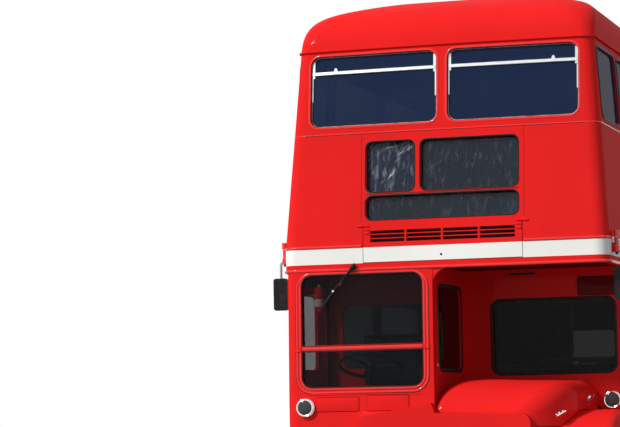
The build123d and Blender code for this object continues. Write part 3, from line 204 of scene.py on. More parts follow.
def rough_metal(name, colour, rough, metal=1.0, grain=(1, 1, 1), scale=60.0):
    """Metal with fine grain and scuffed patches."""
    made, tree, shader = principled(name, colour, rough, metal)
    patches = noise(tree, scale, 5.0, grain)
    dress(tree, shader,
          blend_colour(tree, patches, shade_of(colour, 0.80), shade_of(colour, 1.10)),
          ramp(tree, patches, 0.2, 0.8, rough * 0.7, rough * 1.4))
    bump(tree, shader, patches, 0.15, 0.0008)
    return made


def rubber(name, colour=(0.012, 0.012, 0.013), rough=0.55):
    """Black rubber with a bloom of dust."""
    made, tree, shader = principled(name, colour, rough, spec=0.15)
    dust = ramp(tree, noise(tree, 24.0, 6.0), 0.45, 0.80)
    dress(tree, shader, blend_colour(tree, dust, colour, (0.035, 0.033, 0.032)))
    bump(tree, shader, noise(tree, 420.0, 2.0), 0.2, 0.0006)
    return made


def window_glass(name, colour, alpha, rough=0.04):
    """Window glass with a colour, a part opacity and a faint film of dust."""
    made, tree, shader = principled(name, colour, rough, coat=0.22, alpha=alpha, spec=0.0)
    film = ramp(tree, noise(tree, 3.0, 6.0), 0.45, 0.85, 0.0, 0.14)
    dress(tree, shader, blend_colour(tree, film, colour, (0.05, 0.06, 0.08)),
          ramp(tree, noise(tree, 8.0, 5.0), 0.3, 0.8, rough, rough + 0.10))
    return made


def creased_cloth(name, colour, wear_and_highlight):
    """Varnished blind cloth with pale streaks along slanting creases: painted highlights on the
    creases.
    """
    made, tree, shader = principled(name, colour, 0.22, coat=0.3)
    folds = noise(tree, 34.0, 2.5, (1, 1, 0.26), (0, math.radians(-24), 0))
    # Painted highlight: the creases are lightened to pale blue-grey, as where light catches them.
    crease_highlight = ramp(tree, folds, 0.52, 0.72, 0.0, wear_and_highlight)
    dress(tree, shader, blend_colour(tree, crease_highlight, colour, (0.30, 0.37, 0.48)),
          ramp(tree, folds, 0.3, 0.8, 0.16, 0.34))
    return made


def slatted_wood(name, colour, pitch):
    """Floor of ribbed wooden slats that run along the bus."""
    made, tree, shader = principled(name, colour, 0.55)
    wave = add_node(tree, "TexWave", ("Scale", math.tau / (20 * pitch)),
                    ("Vector", coordinates(tree)))
    wave.bands_direction = "X"
    grain = noise(tree, 4.0, 5.0, (30, 1.5, 30))
    tone = blend_colour(tree, grain, shade_of(colour, 0.6), shade_of(colour, 1.4))
    groove = ramp(tree, wave.outputs["Fac"], 0.1, 0.4)
    dress(tree, shader, blend_colour(tree, groove, shade_of(colour, 0.2), tone))
    bump(tree, shader, groove, 0.5, 0.004)
    return made


def woven_cloth(name, colour, second, pitch):
    """Wool moquette: a small check of two colours with a cut pile."""
    made, tree, shader = principled(name, colour, 0.9, sheen=0.4)
    checker = add_node(tree, "TexChecker", ("Scale", 1 / pitch), ("Vector", coordinates(tree)))
    wear_and_highlight = ramp(tree, noise(tree, 6.0, 4.0), 0.35, 0.8, 0.0, 0.5)
    base = blend_colour(tree, checker.outputs["Fac"], colour, second)
    dress(tree, shader, blend_colour(tree, wear_and_highlight, base, shade_of(colour, 1.5)))
    bump(tree, shader, noise(tree, 900.0, 2.0), 0.5, 0.0015)
    return made


def hide(name, colour):
    """Grained leathercloth."""
    made, tree, shader = principled(name, colour, 0.45)
    cells = add_node(tree, "TexVoronoi", ("Scale", 420.0), ("Vector", coordinates(tree)))
    tone = noise(tree, 7.0, 4.0)
    dress(tree, shader, blend_colour(tree, tone, shade_of(colour, 0.7), shade_of(colour, 1.6)))
    bump(tree, shader, cells.outputs["Distance"], 0.4, 0.0008)
    return made


red = (0.82, 0.018, 0.017)
red_paint = coach_paint("red_paint", red)
# Moulding paint: the body red lifted 6% as a painted highlight, with a heavier coat.
bead_paint = coach_paint("bead_paint", shade_of(red, 1.06), 0.25, gloss=0.9)
# A dark copy of the body red: painted shade round the raised plates.
plate_shade_paint = coach_paint("plate_shade_paint", (0.20, 0.004, 0.004), 0.5)
stair_paint = coach_paint("stair_paint", (0.11, 0.018, 0.018), 0.5, dirty=False)
cream_paint = coach_paint("cream_paint", (0.93, 0.925, 0.89), 0.32)
# Dark maroon: the real colour of the inside lining; on the canopy's underside it is painted shade.
maroon_lining_and_canopy_shade = coach_paint("maroon_lining_and_canopy_shade", (0.16, 0.012, 0.014), 0.5, dirty=False)
ceiling_paint = coach_paint("ceiling_paint", (0.62, 0.55, 0.36), 0.45, dirty=False)
chassis_paint = coach_paint("chassis_paint", (0.022, 0.022, 0.024), 0.5)
wheel_paint = coach_paint("wheel_paint", (0.42, 0.012, 0.016), 0.4)
engine_paint = rough_metal("engine_paint", (0.14, 0.17, 0.16), 0.55, 0.3)
bright_alloy = rough_metal("bright_alloy", (0.62, 0.65, 0.66), 0.34, 0.9, (1, 1, 8), 30.0)
chromium = rough_metal("chromium", (0.86, 0.87, 0.89), 0.10, 1.0, (1, 1, 1), 14.0)
tread_steel = rough_metal("tread_steel", (0.30, 0.30, 0.31), 0.45, 0.8)
seat_tube = rough_metal("seat_tube", (0.52, 0.53, 0.54), 0.30, 1.0)
black_rubber = rubber("black_rubber")
tyre_rubber = rubber("tyre_rubber", (0.018, 0.018, 0.019), 0.75)
black_gloss = rubber("black_gloss", (0.010, 0.010, 0.011), 0.25)
# Painted shade: these panes' dark colour and part opacity stand for the shaded inside seen through
# them.
navy_glass = window_glass("navy_glass", (0.010, 0.024, 0.074), 0.74)
saloon_glass = window_glass("saloon_glass", (0.008, 0.010, 0.013), 0.66)
screen_glass = window_glass("screen_glass", (0.004, 0.006, 0.007), 0.42)
# Painted crease highlights: strong on the number blind, faint on the other blinds.
number_cloth = creased_cloth("number_cloth", (0.016, 0.028, 0.072), 0.95)
blind_cloth = creased_cloth("blind_cloth", (0.010, 0.022, 0.042), 0.16)
ribbed_floor = slatted_wood("ribbed_floor", (0.16, 0.105, 0.065), 0.045)
white_tube = coach_paint("white_tube", (0.82, 0.81, 0.76), 0.3, dirty=False)
moquette = woven_cloth("moquette", (0.16, 0.018, 0.022), (0.045, 0.05, 0.018), 0.014)
leathercloth = hide("leathercloth", (0.020, 0.021, 0.023))
red_lens = rough_metal("red_lens", (0.50, 0.008, 0.008), 0.15, 0.0, (1, 1, 1), 90.0)
dark_lens = window_glass("dark_lens", (0.060, 0.055, 0.060), 1.0, 0.05)
blind_glass = window_glass("blind_glass", (0.010, 0.014, 0.024), 0.22, 0.03)
# Pale rubber for the bonnet stop; round the front panes it paints the highlight on the reveals'
# edge.
pale_stop_and_edge_highlight = rubber("pale_stop_and_edge_highlight", (0.62, 0.60, 0.56), 0.5)
hub_steel = rough_metal("hub_steel", (0.36, 0.36, 0.37), 0.42, 0.9)
brass = rough_metal("brass", (0.55, 0.40, 0.16), 0.30, 1.0)

# What each node wears; the rest of the bus is red
for node in nodes.values():
    node.data.materials.clear()
    node.data.materials.append(red_paint)
for material, names in (
        (black_gloss, "blind_boxes mirrors steering_wheel"),
        (black_rubber, "wiper"),
        (bright_alloy, "radiator_grille"),
        (chassis_paint, "chassis_frame front_axle fuel_tank knuckle_near knuckle_off rear_axle"),
        (chromium, "headlamps side_lamps"),
        (cream_paint, "cream_band"),
        (engine_paint, "engine_block"),
        (leathercloth, "driver_seat"),
        # The canopy's underside is body red; the dark maroon there is painted shade.
        (maroon_lining_and_canopy_shade, "canopy_panel"),
        (moquette, "seat_cushions"),
        (navy_glass, "exit_glass glazing_front glazing_upper"),
        (red_lens, "tail_lamps"),
        (ribbed_floor, "lower_floor rear_platform upper_floor"),
        (saloon_glass, "glazing_lower"),
        (screen_glass, "cab_side_glass door_glass windscreen"),
        (seat_tube, "seat_frames"),
        (stair_paint, "staircase"),
        (tread_steel, "cab_floor"),
        (tyre_rubber, "front_tyre_near front_tyre_off rear_tyres_near rear_tyres_off"),
        (wheel_paint, "front_rim_near front_rim_off rear_rims_near rear_rims_off"),
        (white_tube, "handrails")):
    for node_name in names.split():
        nodes[node_name].data.materials[0] = material


def recolour(node_name, material, chosen):
    """Give the faces of a CAD node that chosen(centre, normal) picks another material."""
    mesh = nodes[node_name].data
    mesh.materials.append(material)
    index = len(mesh.materials) - 1
    for face in mesh.polygons:
        if chosen(face.center, face.normal):
            face.material_index = index


inward = 0.5
for lined_names, chosen in (
        ("upper_side_near lower_side_near", lambda c, n: n.x < -inward),
        ("upper_side_off lower_side_off cab_shell", lambda c, n: n.x > inward and c.x < -1.0),
        ("upper_front", lambda c, n: n.y > inward),
        ("upper_rear lower_rear", lambda c, n: n.y < -inward)):
    for node_name in lined_names.split():
        recolour(node_name, maroon_lining_and_canopy_shade, chosen)
recolour("roof", ceiling_paint, lambda c, n: n.z < -inward and c.z > gutter_z + 0.02)
recolour("vent_flap", cream_paint, lambda c, n: c.z < band_top_z and n.y < inward)
recolour("glazing_front", blind_glass, lambda c, n: c.z < joint_z)
recolour("mirrors", bright_alloy, lambda c, n: c.z > mirror_head_z)
recolour("mirrors", red_paint, lambda c, n: abs(c.x) < half_width + 0.0145)
recolour("staircase", tread_steel, lambda c, n: n.z > 0.9)
for lamp_node, faces in lamp_faces.items():
    recolour(lamp_node, dark_lens,
             lambda c, n: c.y < faces[0 if c.x < 0 else 1] - lamp_rims[lamp_node] - 0.0005)


# Sections, outlines and forms; a form is its points and faces
def grid_faces(rows, size, wrap_rows=True, wrap_size=True):
    """Four-sided faces between rows of points, size points to a row."""
    faces = []
    for i in range(rows if wrap_rows else rows - 1):
        here, there = i * size, (i + 1) % rows * size
        faces += [(here + j, here + (j + 1) % size, there + (j + 1) % size, there + j)
                  for j in range(size if wrap_size else size - 1)]
    return faces


def swept(path, section, closed=False):
    """A section of (across, out) pairs swept along (point, normal) pairs."""
    points = []
    count, size = len(path), len(section)
    for i, (point, normal) in enumerate(path):
        before = path[i - 1][0] if closed or i > 0 else point
        after = path[(i + 1) % count][0] if closed or i < count - 1 else point
        along = (after - before).normalized()
        across = normal.cross(along).normalized()
        points += [point + across * u + normal * v for u, v in section]
    faces = grid_faces(count, size, closed)
    if not closed:
        faces.append(tuple(range(size))[::-1])
        faces.append(tuple((count - 1) * size + j for j in range(size)))
    return points, faces


def half_round(width, height, sink=0.002, steps=6):
    """Section of a half-round moulding that stands on its surface."""
    arc = [(width / 2 * math.cos(math.pi * i / steps), height * math.sin(math.pi * i / steps))
           for i in range(steps + 1)]
    return [(-width / 2, -sink), (width / 2, -sink)] + arc


def tube_section(radius, steps=10):
    """Round section of a tube or rod."""
    return [(radius * math.cos(math.tau * i / steps), radius * math.sin(math.tau * i / steps))
            for i in range(steps)]


def rounded_loop(x0, z0, x1, z1, radius, grow=0.0, corner_steps=6, stride=0.10):
    """Points round a rounded rectangle, its straight sides in short steps."""
    x0, z0, x1, z1 = x0 - grow, z0 - grow, x1 + grow, z1 + grow
    radius = max(radius + grow, 0.002)
    corners = [(x1 - radius, z0 + radius, -90), (x1 - radius, z1 - radius, 0),
               (x0 + radius, z1 - radius, 90), (x0 + radius, z0 + radius, 180)]
    arcs = []
    for cx, cz, start in corners:
        turns = [math.radians(start + 90 * i / corner_steps) for i in range(corner_steps + 1)]
        arcs.append([(cx + radius * math.cos(a), cz + radius * math.sin(a)) for a in turns])
    loop = []
    for arc, following in zip(arcs, arcs[1:] + arcs[:1]):
        loop += arc
        loop += line_places(*arc[-1], *following[0], stride)[1:-1]
    return loop


def line_places(a0, z0, a1, z1, stride=0.08):
    """Places along a straight line."""
    steps = max(1, round(math.hypot(a1 - a0, z1 - z0) / stride))
    return [(a0 + (a1 - a0) * i / steps, z0 + (z1 - z0) * i / steps) for i in range(steps + 1)]


def spokes(axis, steps):
    """Unit vectors all round an axis."""
    side = axis.orthogonal().normalized()
    other = axis.cross(side)
    return [side * math.cos(math.tau * i / steps) + other * math.sin(math.tau * i / steps)
            for i in range(steps)]


def dome(point, normal, radius, height, steps=8):
    """A rivet or screw head."""
    points = []
    for share, rise in ((1.0, 0.0), (0.75, 0.7)):
        points += [point + spoke * radius * share + normal * height * rise
                   for spoke in spokes(normal, steps)]
    points.append(point + normal * height)
    faces = grid_faces(2, steps, False)
    faces += [(steps + i, steps + (i + 1) % steps, 2 * steps) for i in range(steps)]
    faces.append(tuple(range(steps))[::-1])
    return points, faces


def turned(profile, centre, axis, steps=32, closed=False):
    """A profile of (along, radius) pairs turned about an axis through centre."""
    points = []
    for spoke in spokes(axis, steps):
        points += [centre + axis * along + spoke * radius for along, radius in profile]
    size = len(profile)
    faces = grid_faces(steps, size, True, closed)
    for end in () if closed else (0, size - 1):
        if profile[end][1] > 1e-5:
            rim = [i * size + end for i in range(steps)]
            faces.append(tuple(rim if end == 0 else rim[::-1]))
    return points, faces


def slab(corners, thickness, heading):
    """A flat plate from its outline, thickened along heading."""
    count = len(corners)
    points = [Vector(c) for c in corners] + [Vector(c) + heading * thickness for c in corners]
    faces = [tuple(range(count))[::-1], tuple(range(count, 2 * count))]
    return points, faces + grid_faces(2, count, False)


def ring(centre, axis, radius, tube, steps=40):
    """A round bead, its centre line a circle about the axis."""
    path = [(centre + spoke * radius, spoke) for spoke in spokes(axis, steps)]
    return swept(path, tube_section(tube, 8), True)


def rod(points, radius, steps=8):
    """A round rod through a short list of points."""
    points = [Vector(p) for p in points]
    normal = (points[-1] - points[0]).normalized().orthogonal().normalized()
    return swept([(p, normal) for p in points], tube_section(radius, steps))


def in_scene(name, data):
    """A new object of the scene."""
    made = bpy.data.objects.new(name, data)
    bpy.context.scene.collection.objects.link(made)
    return made


smooth_angle = math.radians(32)


def make(name, material, body, slot, *forms, smooth=True):
    """One piece made of several forms, each with its points and faces."""
    points, faces = [], []
    for form_points, form_faces in forms:
        start = len(points)
        points += form_points
        faces += [tuple(start + i for i in face) for face in form_faces]
    mesh = bpy.data.meshes.new(name)
    mesh.from_pydata(points, [], faces)
    mesh.materials.append(material)
    facing = bmesh.new()
    facing.from_mesh(mesh)
    bmesh.ops.recalc_face_normals(facing, faces=facing.faces)
    facing.to_mesh(mesh)
    facing.free()
    if smooth:
        mesh.shade_smooth()
        mesh.set_sharp_from_angle(angle=smooth_angle)
    made = in_scene(name, mesh)
    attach(made, body)
    return made


# Surfaces of the CAD nodes that the trim stands on
def tree_of(*names):
    """One ray target made of several CAD nodes."""
    points, faces = [], []
    for name in names:
        mesh = nodes[name].data
        start = len(points)
        points += [v.co.copy() for v in mesh.vertices]
        faces += [tuple(start + i for i in p.vertices) for p in mesh.polygons]
    return BVHTree.FromPolygons(points, faces)


upper_skin = tree_of("upper_front", "upper_side_near", "upper_side_off", "upper_rear",
                     "cream_band", "canopy_rail", "vent_flap", "rear_exit")
lower_skin = tree_of("lower_side_near", "lower_side_off", "lower_rear", "cab_shell", "cab_door")
cab_skin = tree_of("cab_shell")
bulkhead_skin = tree_of("front_bulkhead")
roof_skin = tree_of("roof")
front_glass = tree_of("glazing_front")
box_skin = tree_of("blind_boxes")
flap_skin = tree_of("vent_flap")
inner_wall_skin = tree_of("cab_inner_wall")
side_glass = tree_of("glazing_upper", "glazing_lower")
cowl_skin = tree_of("radiator_cowl")
bonnet_skin = tree_of("bonnet")
arch_skin = tree_of("wing_near", "lower_side_near", "lower_side_off", "cab_shell")
rear_skin = tree_of("lower_rear")

# Where each view's rays start, as a distance, and where they head
ray_start = 6.0
headings = {"front": back, "rear": ahead, "near": Vector((-1, 0, 0)), "off": Vector((1, 0, 0))}


def on_skin(skin, view, places):
    """(point, normal) where each place, seen from a side, meets the skin."""
    heading = headings[view]
    found = []
    for a, z in places:
        start = Vector((a, 0, z) if heading.y else (0, a, z)) - heading * ray_start
        point, normal, _, _ = skin.ray_cast(start, heading)
        if point is None:
            raise ValueError(f"no skin at {a:.3f}, {z:.3f} from the {view}")
        found.append((point, normal if normal.dot(heading) < 0 else -normal))
    return found


def bead(skin, view, places, width, rise, closed=False):
    """A half-round bead along places on the skin."""
    return swept(on_skin(skin, view, places), half_round(width, rise), closed)


def surround(skin, view, rect, radius, grow, width, rise):
    """A half-round bead round a rounded rectangle on the skin, larger by grow."""
    return bead(skin, view, rounded_loop(*rect, radius, grow), width, rise, True)


def bar(skin, view, places, width, height):
    """A square-edged strip along places on the skin."""
    half = width / 2
    section = [(-half, -0.001), (half, -0.001), (half, height * 0.8), (half * 0.85, height),
               (-half * 0.85, height), (-half, height * 0.8)]
    return swept(on_skin(skin, view, places), section)


def domes(skin, view, places, radius, height, steps=8):
    """Rivet or screw heads at places on the skin."""
    return [dome(point, normal, radius, height, steps)
            for point, normal in on_skin(skin, view, places)]


def raised_plate(skin, view, rect, radius, height, edge=0.003, sink=0.002):
    """A thin rounded plate that follows the skin, its edge softened."""
    outer = on_skin(skin, view, rounded_loop(*rect, radius, corner_steps=4))
    inner = on_skin(skin, view, rounded_loop(*rect, radius, -edge, corner_steps=4))
    count = len(outer)
    points = [p - n * sink for p, n in outer] + [p + n * (height - edge / 2) for p, n in outer]
    points += [p + n * height for p, n in inner]
    faces = [tuple(range(count))[::-1], tuple(range(2 * count, 3 * count))]
    return points, faces + grid_faces(3, count, False)


# Trim of the body
def body_mouldings():
    """Half-round beads along the panel joints, round the whole upper body."""
    beads = []
    rear_rise = 0.003
    girdle_lines = [
        # height, width, rise, reach across the front, start of the side, reach and end behind
        (joint_z + 0.006, 0.010, 0.0035, 1.130, 0.165, 1.085, 0.150),
        (band_top_z + 0.012, 0.022, 0.010, 1.185, 0.064, 1.160, 0.058),
        (rail_z + 0.012, 0.024, 0.011, 1.185, 0.062, 1.160, 0.058),
    ]
    for z, width, rise, front_reach, side_start, rear_reach, side_end in girdle_lines:
        runs = [("rear", -rear_reach, rear_reach)]
        runs += [(view, cab_y + side_start, rear_y - side_end) for view in sides]
        if band_z < z < flap_top:
            runs += [("front", -front_reach, -flap_edge), ("front", flap_edge, front_reach)]
        else:
            runs.append(("front", -front_reach, front_reach))
        beads += [bead(upper_skin, view, line_places(a0, z, a1, z, 0.04), width,
                       rear_rise if view == "rear" else rise) for view, a0, a1 in runs]
    make("body_mouldings", bead_paint, "bus", "body_red", *beads)


def panel_joints_and_rim_shadow():
    """Thin dark joints between the panels of the upper body, and a painted shadow line round the
    windscreen's rim.
    """
    panel_edge, panel_foot = 0.612, 2.62
    lines = [
        # view, start, end
        ("front", (-1.130, joint_z), (1.130, joint_z)),
        ("rear", (-1.085, joint_z), (1.085, joint_z)),
        ("near", (cab_y + 0.165, joint_z), (rear_y - 0.150, joint_z)),
        ("off", (cab_y + 0.165, joint_z), (rear_y - 0.150, joint_z)),
        ("front", (-panel_edge, panel_foot), (-panel_edge, joint_z)),
        ("front", (panel_edge, panel_foot), (panel_edge, joint_z)),
    ]
    lines += [(view, (y + pillar / 2, band_top_z + 0.03), (y + pillar / 2, joint_z - 0.01))
              for view in sides for _, y in bays]
    joints = [bar(upper_skin, view, line_places(*start, *end, 0.04), 0.0035, 0.0008)
              for view, start, end in lines]
    # A black line at the outer step of the windscreen's rims is a painted shadow of that step.
    x0, z0, x1, _ = screen
    outer, half, thick = 0.0505, 0.0016, 0.0012
    screen_rim_shadow = rounded_loop(x0 - outer, z0 - outer, x1 + outer, rail_z - 0.005,
                               screen_corner + outer)
    joints.append(swept(on_skin(cab_skin, "front", screen_rim_shadow),
                        [(-half, -0.001), (half, -0.001), (half, thick), (-half, thick)], True))
    make("panel_joints_and_rim_shadow", black_rubber, "bus", "rubber_black", *joints, smooth=False)


def rivet_rows():
    """Rivets above the gutter, round the roof."""
    spacing, row_z = 0.055, gutter_z + 0.055
    rivets = []
    for view, a0, a1 in (("front", -0.98, 0.98), ("near", cab_y + 0.40, rear_y - 0.35),
                         ("off", cab_y + 0.40, rear_y - 0.35), ("rear", -0.95, 0.95)):
        rivets += domes(roof_skin, view, line_places(a0, row_z, a1, row_z, spacing),
                        0.0045, 0.002, 6)
    make("roof_rivets", red_paint, "bus", "body_red", *rivets)


def window_frames():
    """Red returns round the front windows, black rubber round the others."""
    make("front_window_rims", bead_paint, "bus", "body_red",
         *[surround(upper_skin, "front", window, front_window_corner, 0.008, 0.018, 0.005)
           for window in front_windows])
    make("blind_rubbers", black_rubber, "bus", "rubber_black",
         *[surround(upper_skin, "front", window, blind_corner, 0.004, 0.011, 0.004)
           for window in blind_windows])
    grow, width, rise, rise_behind_door = 0.008, 0.022, 0.007, 0.003
    rubbers = []
    for view in sides:
        rubbers += [surround(upper_skin, view, (y0, upper_sill_z, y1, upper_head_z),
                             window_corner, grow, width, rise) for y0, y1 in upper_windows]
        for y0, y1 in bays:
            behind_door = view == "off" and y0 < door_reach
            rubbers.append(surround(lower_skin, view, (y0, lower_sill_z, y1, lower_head_z),
                                    window_corner, grow, width,
                                    rise_behind_door if behind_door else rise))
    make("side_window_rubbers", black_rubber, "bus", "rubber_black", *rubbers)


def front_window_fittings():
    """Channels, cross bars and catches on the front window glass."""
    fittings = []
    bar_z, bar_width = 3.755, 0.025
    channels = [
        # width, how far below the head it starts, and ends
        (0.022, 0.030, 0.160),
        (0.010, 0.155, 0.340),
    ]
    catch_outline = [(-0.024, -0.010), (0.024, -0.010), (0.006, 0.034), (-0.006, 0.034)]
    for (x0, _, x1, z1), catch_share in zip(front_windows, (0.20, 0.81)):
        for width, start, end in channels:
            fittings += [bar(front_glass, "front", line_places(x, z1 - end, x, z1 - start),
                             width, 0.008)
                         for x in (x0 + 0.006 + width / 2, x1 - 0.006 - width / 2)]
        fittings.append(bar(front_glass, "front",
                            line_places(x0 + 0.010, bar_z, x1 - 0.010, bar_z), bar_width, 0.012))
        catch_x = x0 + catch_share * (x1 - x0)
        corners = on_skin(front_glass, "front",
                          [(catch_x + x, bar_z + z) for x, z in catch_outline])
        fittings.append(slab([p for p, _ in corners], 0.017, corners[0][1]))
    make("front_window_fittings", bright_alloy, "bus", "grille_silver", *fittings)
    # Pale beads round the front panes: a painted highlight on the reveals' inner edge.
    make("front_glass_highlights", pale_stop_and_edge_highlight, "bus", "grille_silver",
         *[surround(front_glass, "front", window, front_window_corner, -0.006, 0.005, 0.004)
           for window in front_windows])


def blind_sheets():
    """Creased blinds over the face of each destination box, and a painted shadow line between the
    boxes.
    """
    blinds = [
        # name, window, fold count, fold height, where the folds fade, distance of fading
        ("blind_number", blind_windows[0], 40, 0.0065, None, 1.0),
        ("blind_via", blind_windows[1], 22, 0.0050, blind_windows[1][0], 0.16),
        ("blind_ultimate", blind_windows[2], 8, 0.0010, blind_windows[2][0], 0.5),
    ]
    fold_source = random.Random(11)
    spacing, margin, inset = 0.0045, 0.004, blind_corner + 0.008
    stand_off, highest_fold = 0.0012, 0.0088
    for name, (x0, z0, x1, z1), fold_count, fold_height, fade_x, fade in blinds:
        x0, z0, x1, z1 = x0 + margin, z0 + margin, x1 - margin, z1 - margin
        folds = []
        for _ in range(fold_count):
            reach = x1 - x0 if fade_x is None else min(x1 - x0, 2.5 * fade)
            centre = (x0 + fold_source.random() * reach, z0 + fold_source.random() * (z1 - z0))
            angle = math.radians(fold_source.uniform(25, 75))
            folds.append((centre, math.cos(angle), math.sin(angle),
                          fold_source.uniform(0.012, 0.040), fold_source.uniform(0.05, 0.20),
                          fold_height * fold_source.uniform(0.4, 1.0)))
        columns = round((x1 - x0) / spacing)
        rows = round((z1 - z0) / spacing)
        places = [(x0 + (x1 - x0) * i / columns, z0 + (z1 - z0) * j / rows)
                  for j in range(rows + 1) for i in range(columns + 1)]
        points = []
        for x, z in places:
            lift = 0.0
            for (fx, fz), cos_a, sin_a, fold_width, fold_length, rise in folds:
                across = (x - fx) * sin_a - (z - fz) * cos_a
                along = (x - fx) * cos_a + (z - fz) * sin_a
                lift += (rise * max(0.0, 1 - abs(across) / fold_width)
                         * max(0.0, 1 - (along / fold_length) ** 2))
            if fade_x is not None:
                lift *= math.exp(-(x - fade_x) / fade)
            clamped_x = min(max(x, x0 + inset), x1 - inset)
            clamped_z = min(max(z, z0 + inset), z1 - inset)
            off_x, off_z = x - clamped_x, z - clamped_z
            distance = math.hypot(off_x, off_z)
            if distance > inset:
                x = clamped_x + off_x * inset / distance
                z = clamped_z + off_z * inset / distance
            (point, normal), = on_skin(box_skin, "front", [(x, z)])
            points.append(point + normal * (stand_off + highest_fold
                                            * (1 - math.exp(-lift / highest_fold))))
        cloth = number_cloth if fade_x is None else blind_cloth
        piece = make(name, cloth, "bus", "blind",
                     (points, grid_faces(rows + 1, columns + 1, False, False)))
    # Painted shadow: a black strip between the upper boxes and the ultimate box, the shadow of
    # their rubbers.
    make("box_shadow_line", black_rubber, "bus", "rubber_black",
         bar(upper_skin, "front", line_places(-0.582, 2.826, 0.574, 2.826), 0.005, 0.002))


def grille_details():
    """Studs and screws of the ventilator grille, the flap's fastener, and a black sheet that paints
    the shade behind the slots.
    """
    row_studs, spread = 17, 0.97
    places = [((-grille_span + 2 * grille_span * i / (row_studs - 1)) * spread, z)
              for z in grille_row_z for i in range(row_studs)]
    screws = [(x, z) for x in (-0.570, 0.570) for z in (2.485, 2.540)]
    straps = [(x0, z0, x1, z1) for x0, x1 in ((-0.592, -0.549), (0.549, 0.592))
              for z0, z1 in ((2.556, 2.572), (2.527, 2.548))]
    make("grille_studs", red_paint, "vent_flap", "body_red",
         *domes(flap_skin, "front", places, 0.0042, 0.0030),
         *domes(flap_skin, "front", screws, 0.0060, 0.0030),
         *[raised_plate(flap_skin, "front", strap, 0.005, 0.007) for strap in straps])
    make("flap_fastener", black_gloss, "vent_flap", "black_plastic",
         *domes(flap_skin, "front", [(-0.007, 2.363)], 0.009, 0.005, 16))
    # Painted shade: a black sheet behind the grille's slots stands for the dark space there.
    half, low, high = 0.572, 2.458, 2.566
    corners = on_skin(flap_skin, "rear", [(-half, low), (half, low), (half, high), (-half, high)])
    make("grille_slot_shade", black_rubber, "vent_flap", "rubber_black",
         slab([p for p, _ in corners], 0.0015, corners[0][1]), smooth=False)


def canopy_corner():
    """The rounded corner under the rail, beside the cab."""
    radius, depth = 0.115, 0.030
    x0, front, z1 = -0.077, cab_y + 0.034, rail_z
    turns = [math.radians(90 * i / 10) for i in range(11)]
    outline = [(x0, z1)] + [(x0 + radius - radius * math.cos(a), z1 - radius + radius * math.sin(a))
                            for a in turns]
    make("canopy_corner", red_paint, "bus", "body_red",
         slab([(x, front, z) for x, z in outline], depth, back), smooth=False)


def screen_details():
    """Rubber and pivots of the windscreen, the ledge and blank plates below it, with painted shade
    round the plates and under the bar.
    """
    x0, z0, x1, z1 = screen
    make("screen_rubbers_and_bar_shadow", black_rubber, "bus", "rubber_black",
         surround(cab_skin, "front", screen, screen_corner, 0.0045, 0.008, 0.003),
         # The lower of these black lines is a painted shadow under the screen's bar.
         *[bead(cab_skin, "front", line_places(x0 + 0.002, z, x1 - 0.002, z), 0.006, 0.003)
           for z in (screen_bar_z - 0.020, screen_bar_z + 0.020)])
    pivots = [(x0 - 0.034, screen_bar_z - 0.010), (x1 + 0.034, screen_bar_z - 0.006)]
    make("screen_pivots", bead_paint, "bus", "body_red",
         *[turned([(-0.004, 0.0), (-0.004, 0.013), (0.008, 0.013), (0.012, 0.009),
                   (0.013, 0.0)], point, normal, 20)
           for point, normal in on_skin(cab_skin, "front", pivots)])
    plates = ((-0.971, 1.237, -0.645, 1.338), (-0.582, 1.237, -0.267, 1.345))
    low_plate = (-0.640, 1.105, -0.095, 1.232)
    hinge_z, hinge_width, hinge_rise = screen_bar_z - 0.004, 0.034, 0.010
    make("cab_plates", red_paint, "bus", "body_red",
         *[raised_plate(cab_skin, "front", rect, 0.010, 0.006) for rect in plates],
         bead(cab_skin, "front", line_places(-1.02, 1.362, -0.16, 1.355), 0.009, 0.004),
         *[bar(cab_skin, "front", line_places(start, hinge_z, end, hinge_z), hinge_width,
               hinge_rise) for start, end in ((x0 - 0.052, x0 - 0.004), (x1 + 0.004, x1 + 0.052))],
         raised_plate(cab_skin, "front", low_plate, 0.055, 0.010, 0.008))
    steps = [rounded_loop(x0 - grow, z0 - grow, x1 + grow, min(z1 + grow, rail_z - 0.010),
                          screen_corner + grow) for grow in (0.040, 0.0145)]
    make("screen_beads", bead_paint, "bus", "body_red",
         *[bead(cab_skin, "front", loop, 0.016, 0.006, True) for loop in steps],
         bead(cab_skin, "front", line_places(x0, screen_bar_z, x1, screen_bar_z), 0.030, 0.010))
    # Dark red lines round the blank plates: painted shade at their raised edges.
    make("plate_edge_shade", plate_shade_paint, "bus", "body_red",
         *[surround(cab_skin, "front", rect, 0.012, 0.0015, 0.005, 0.002) for rect in plates])


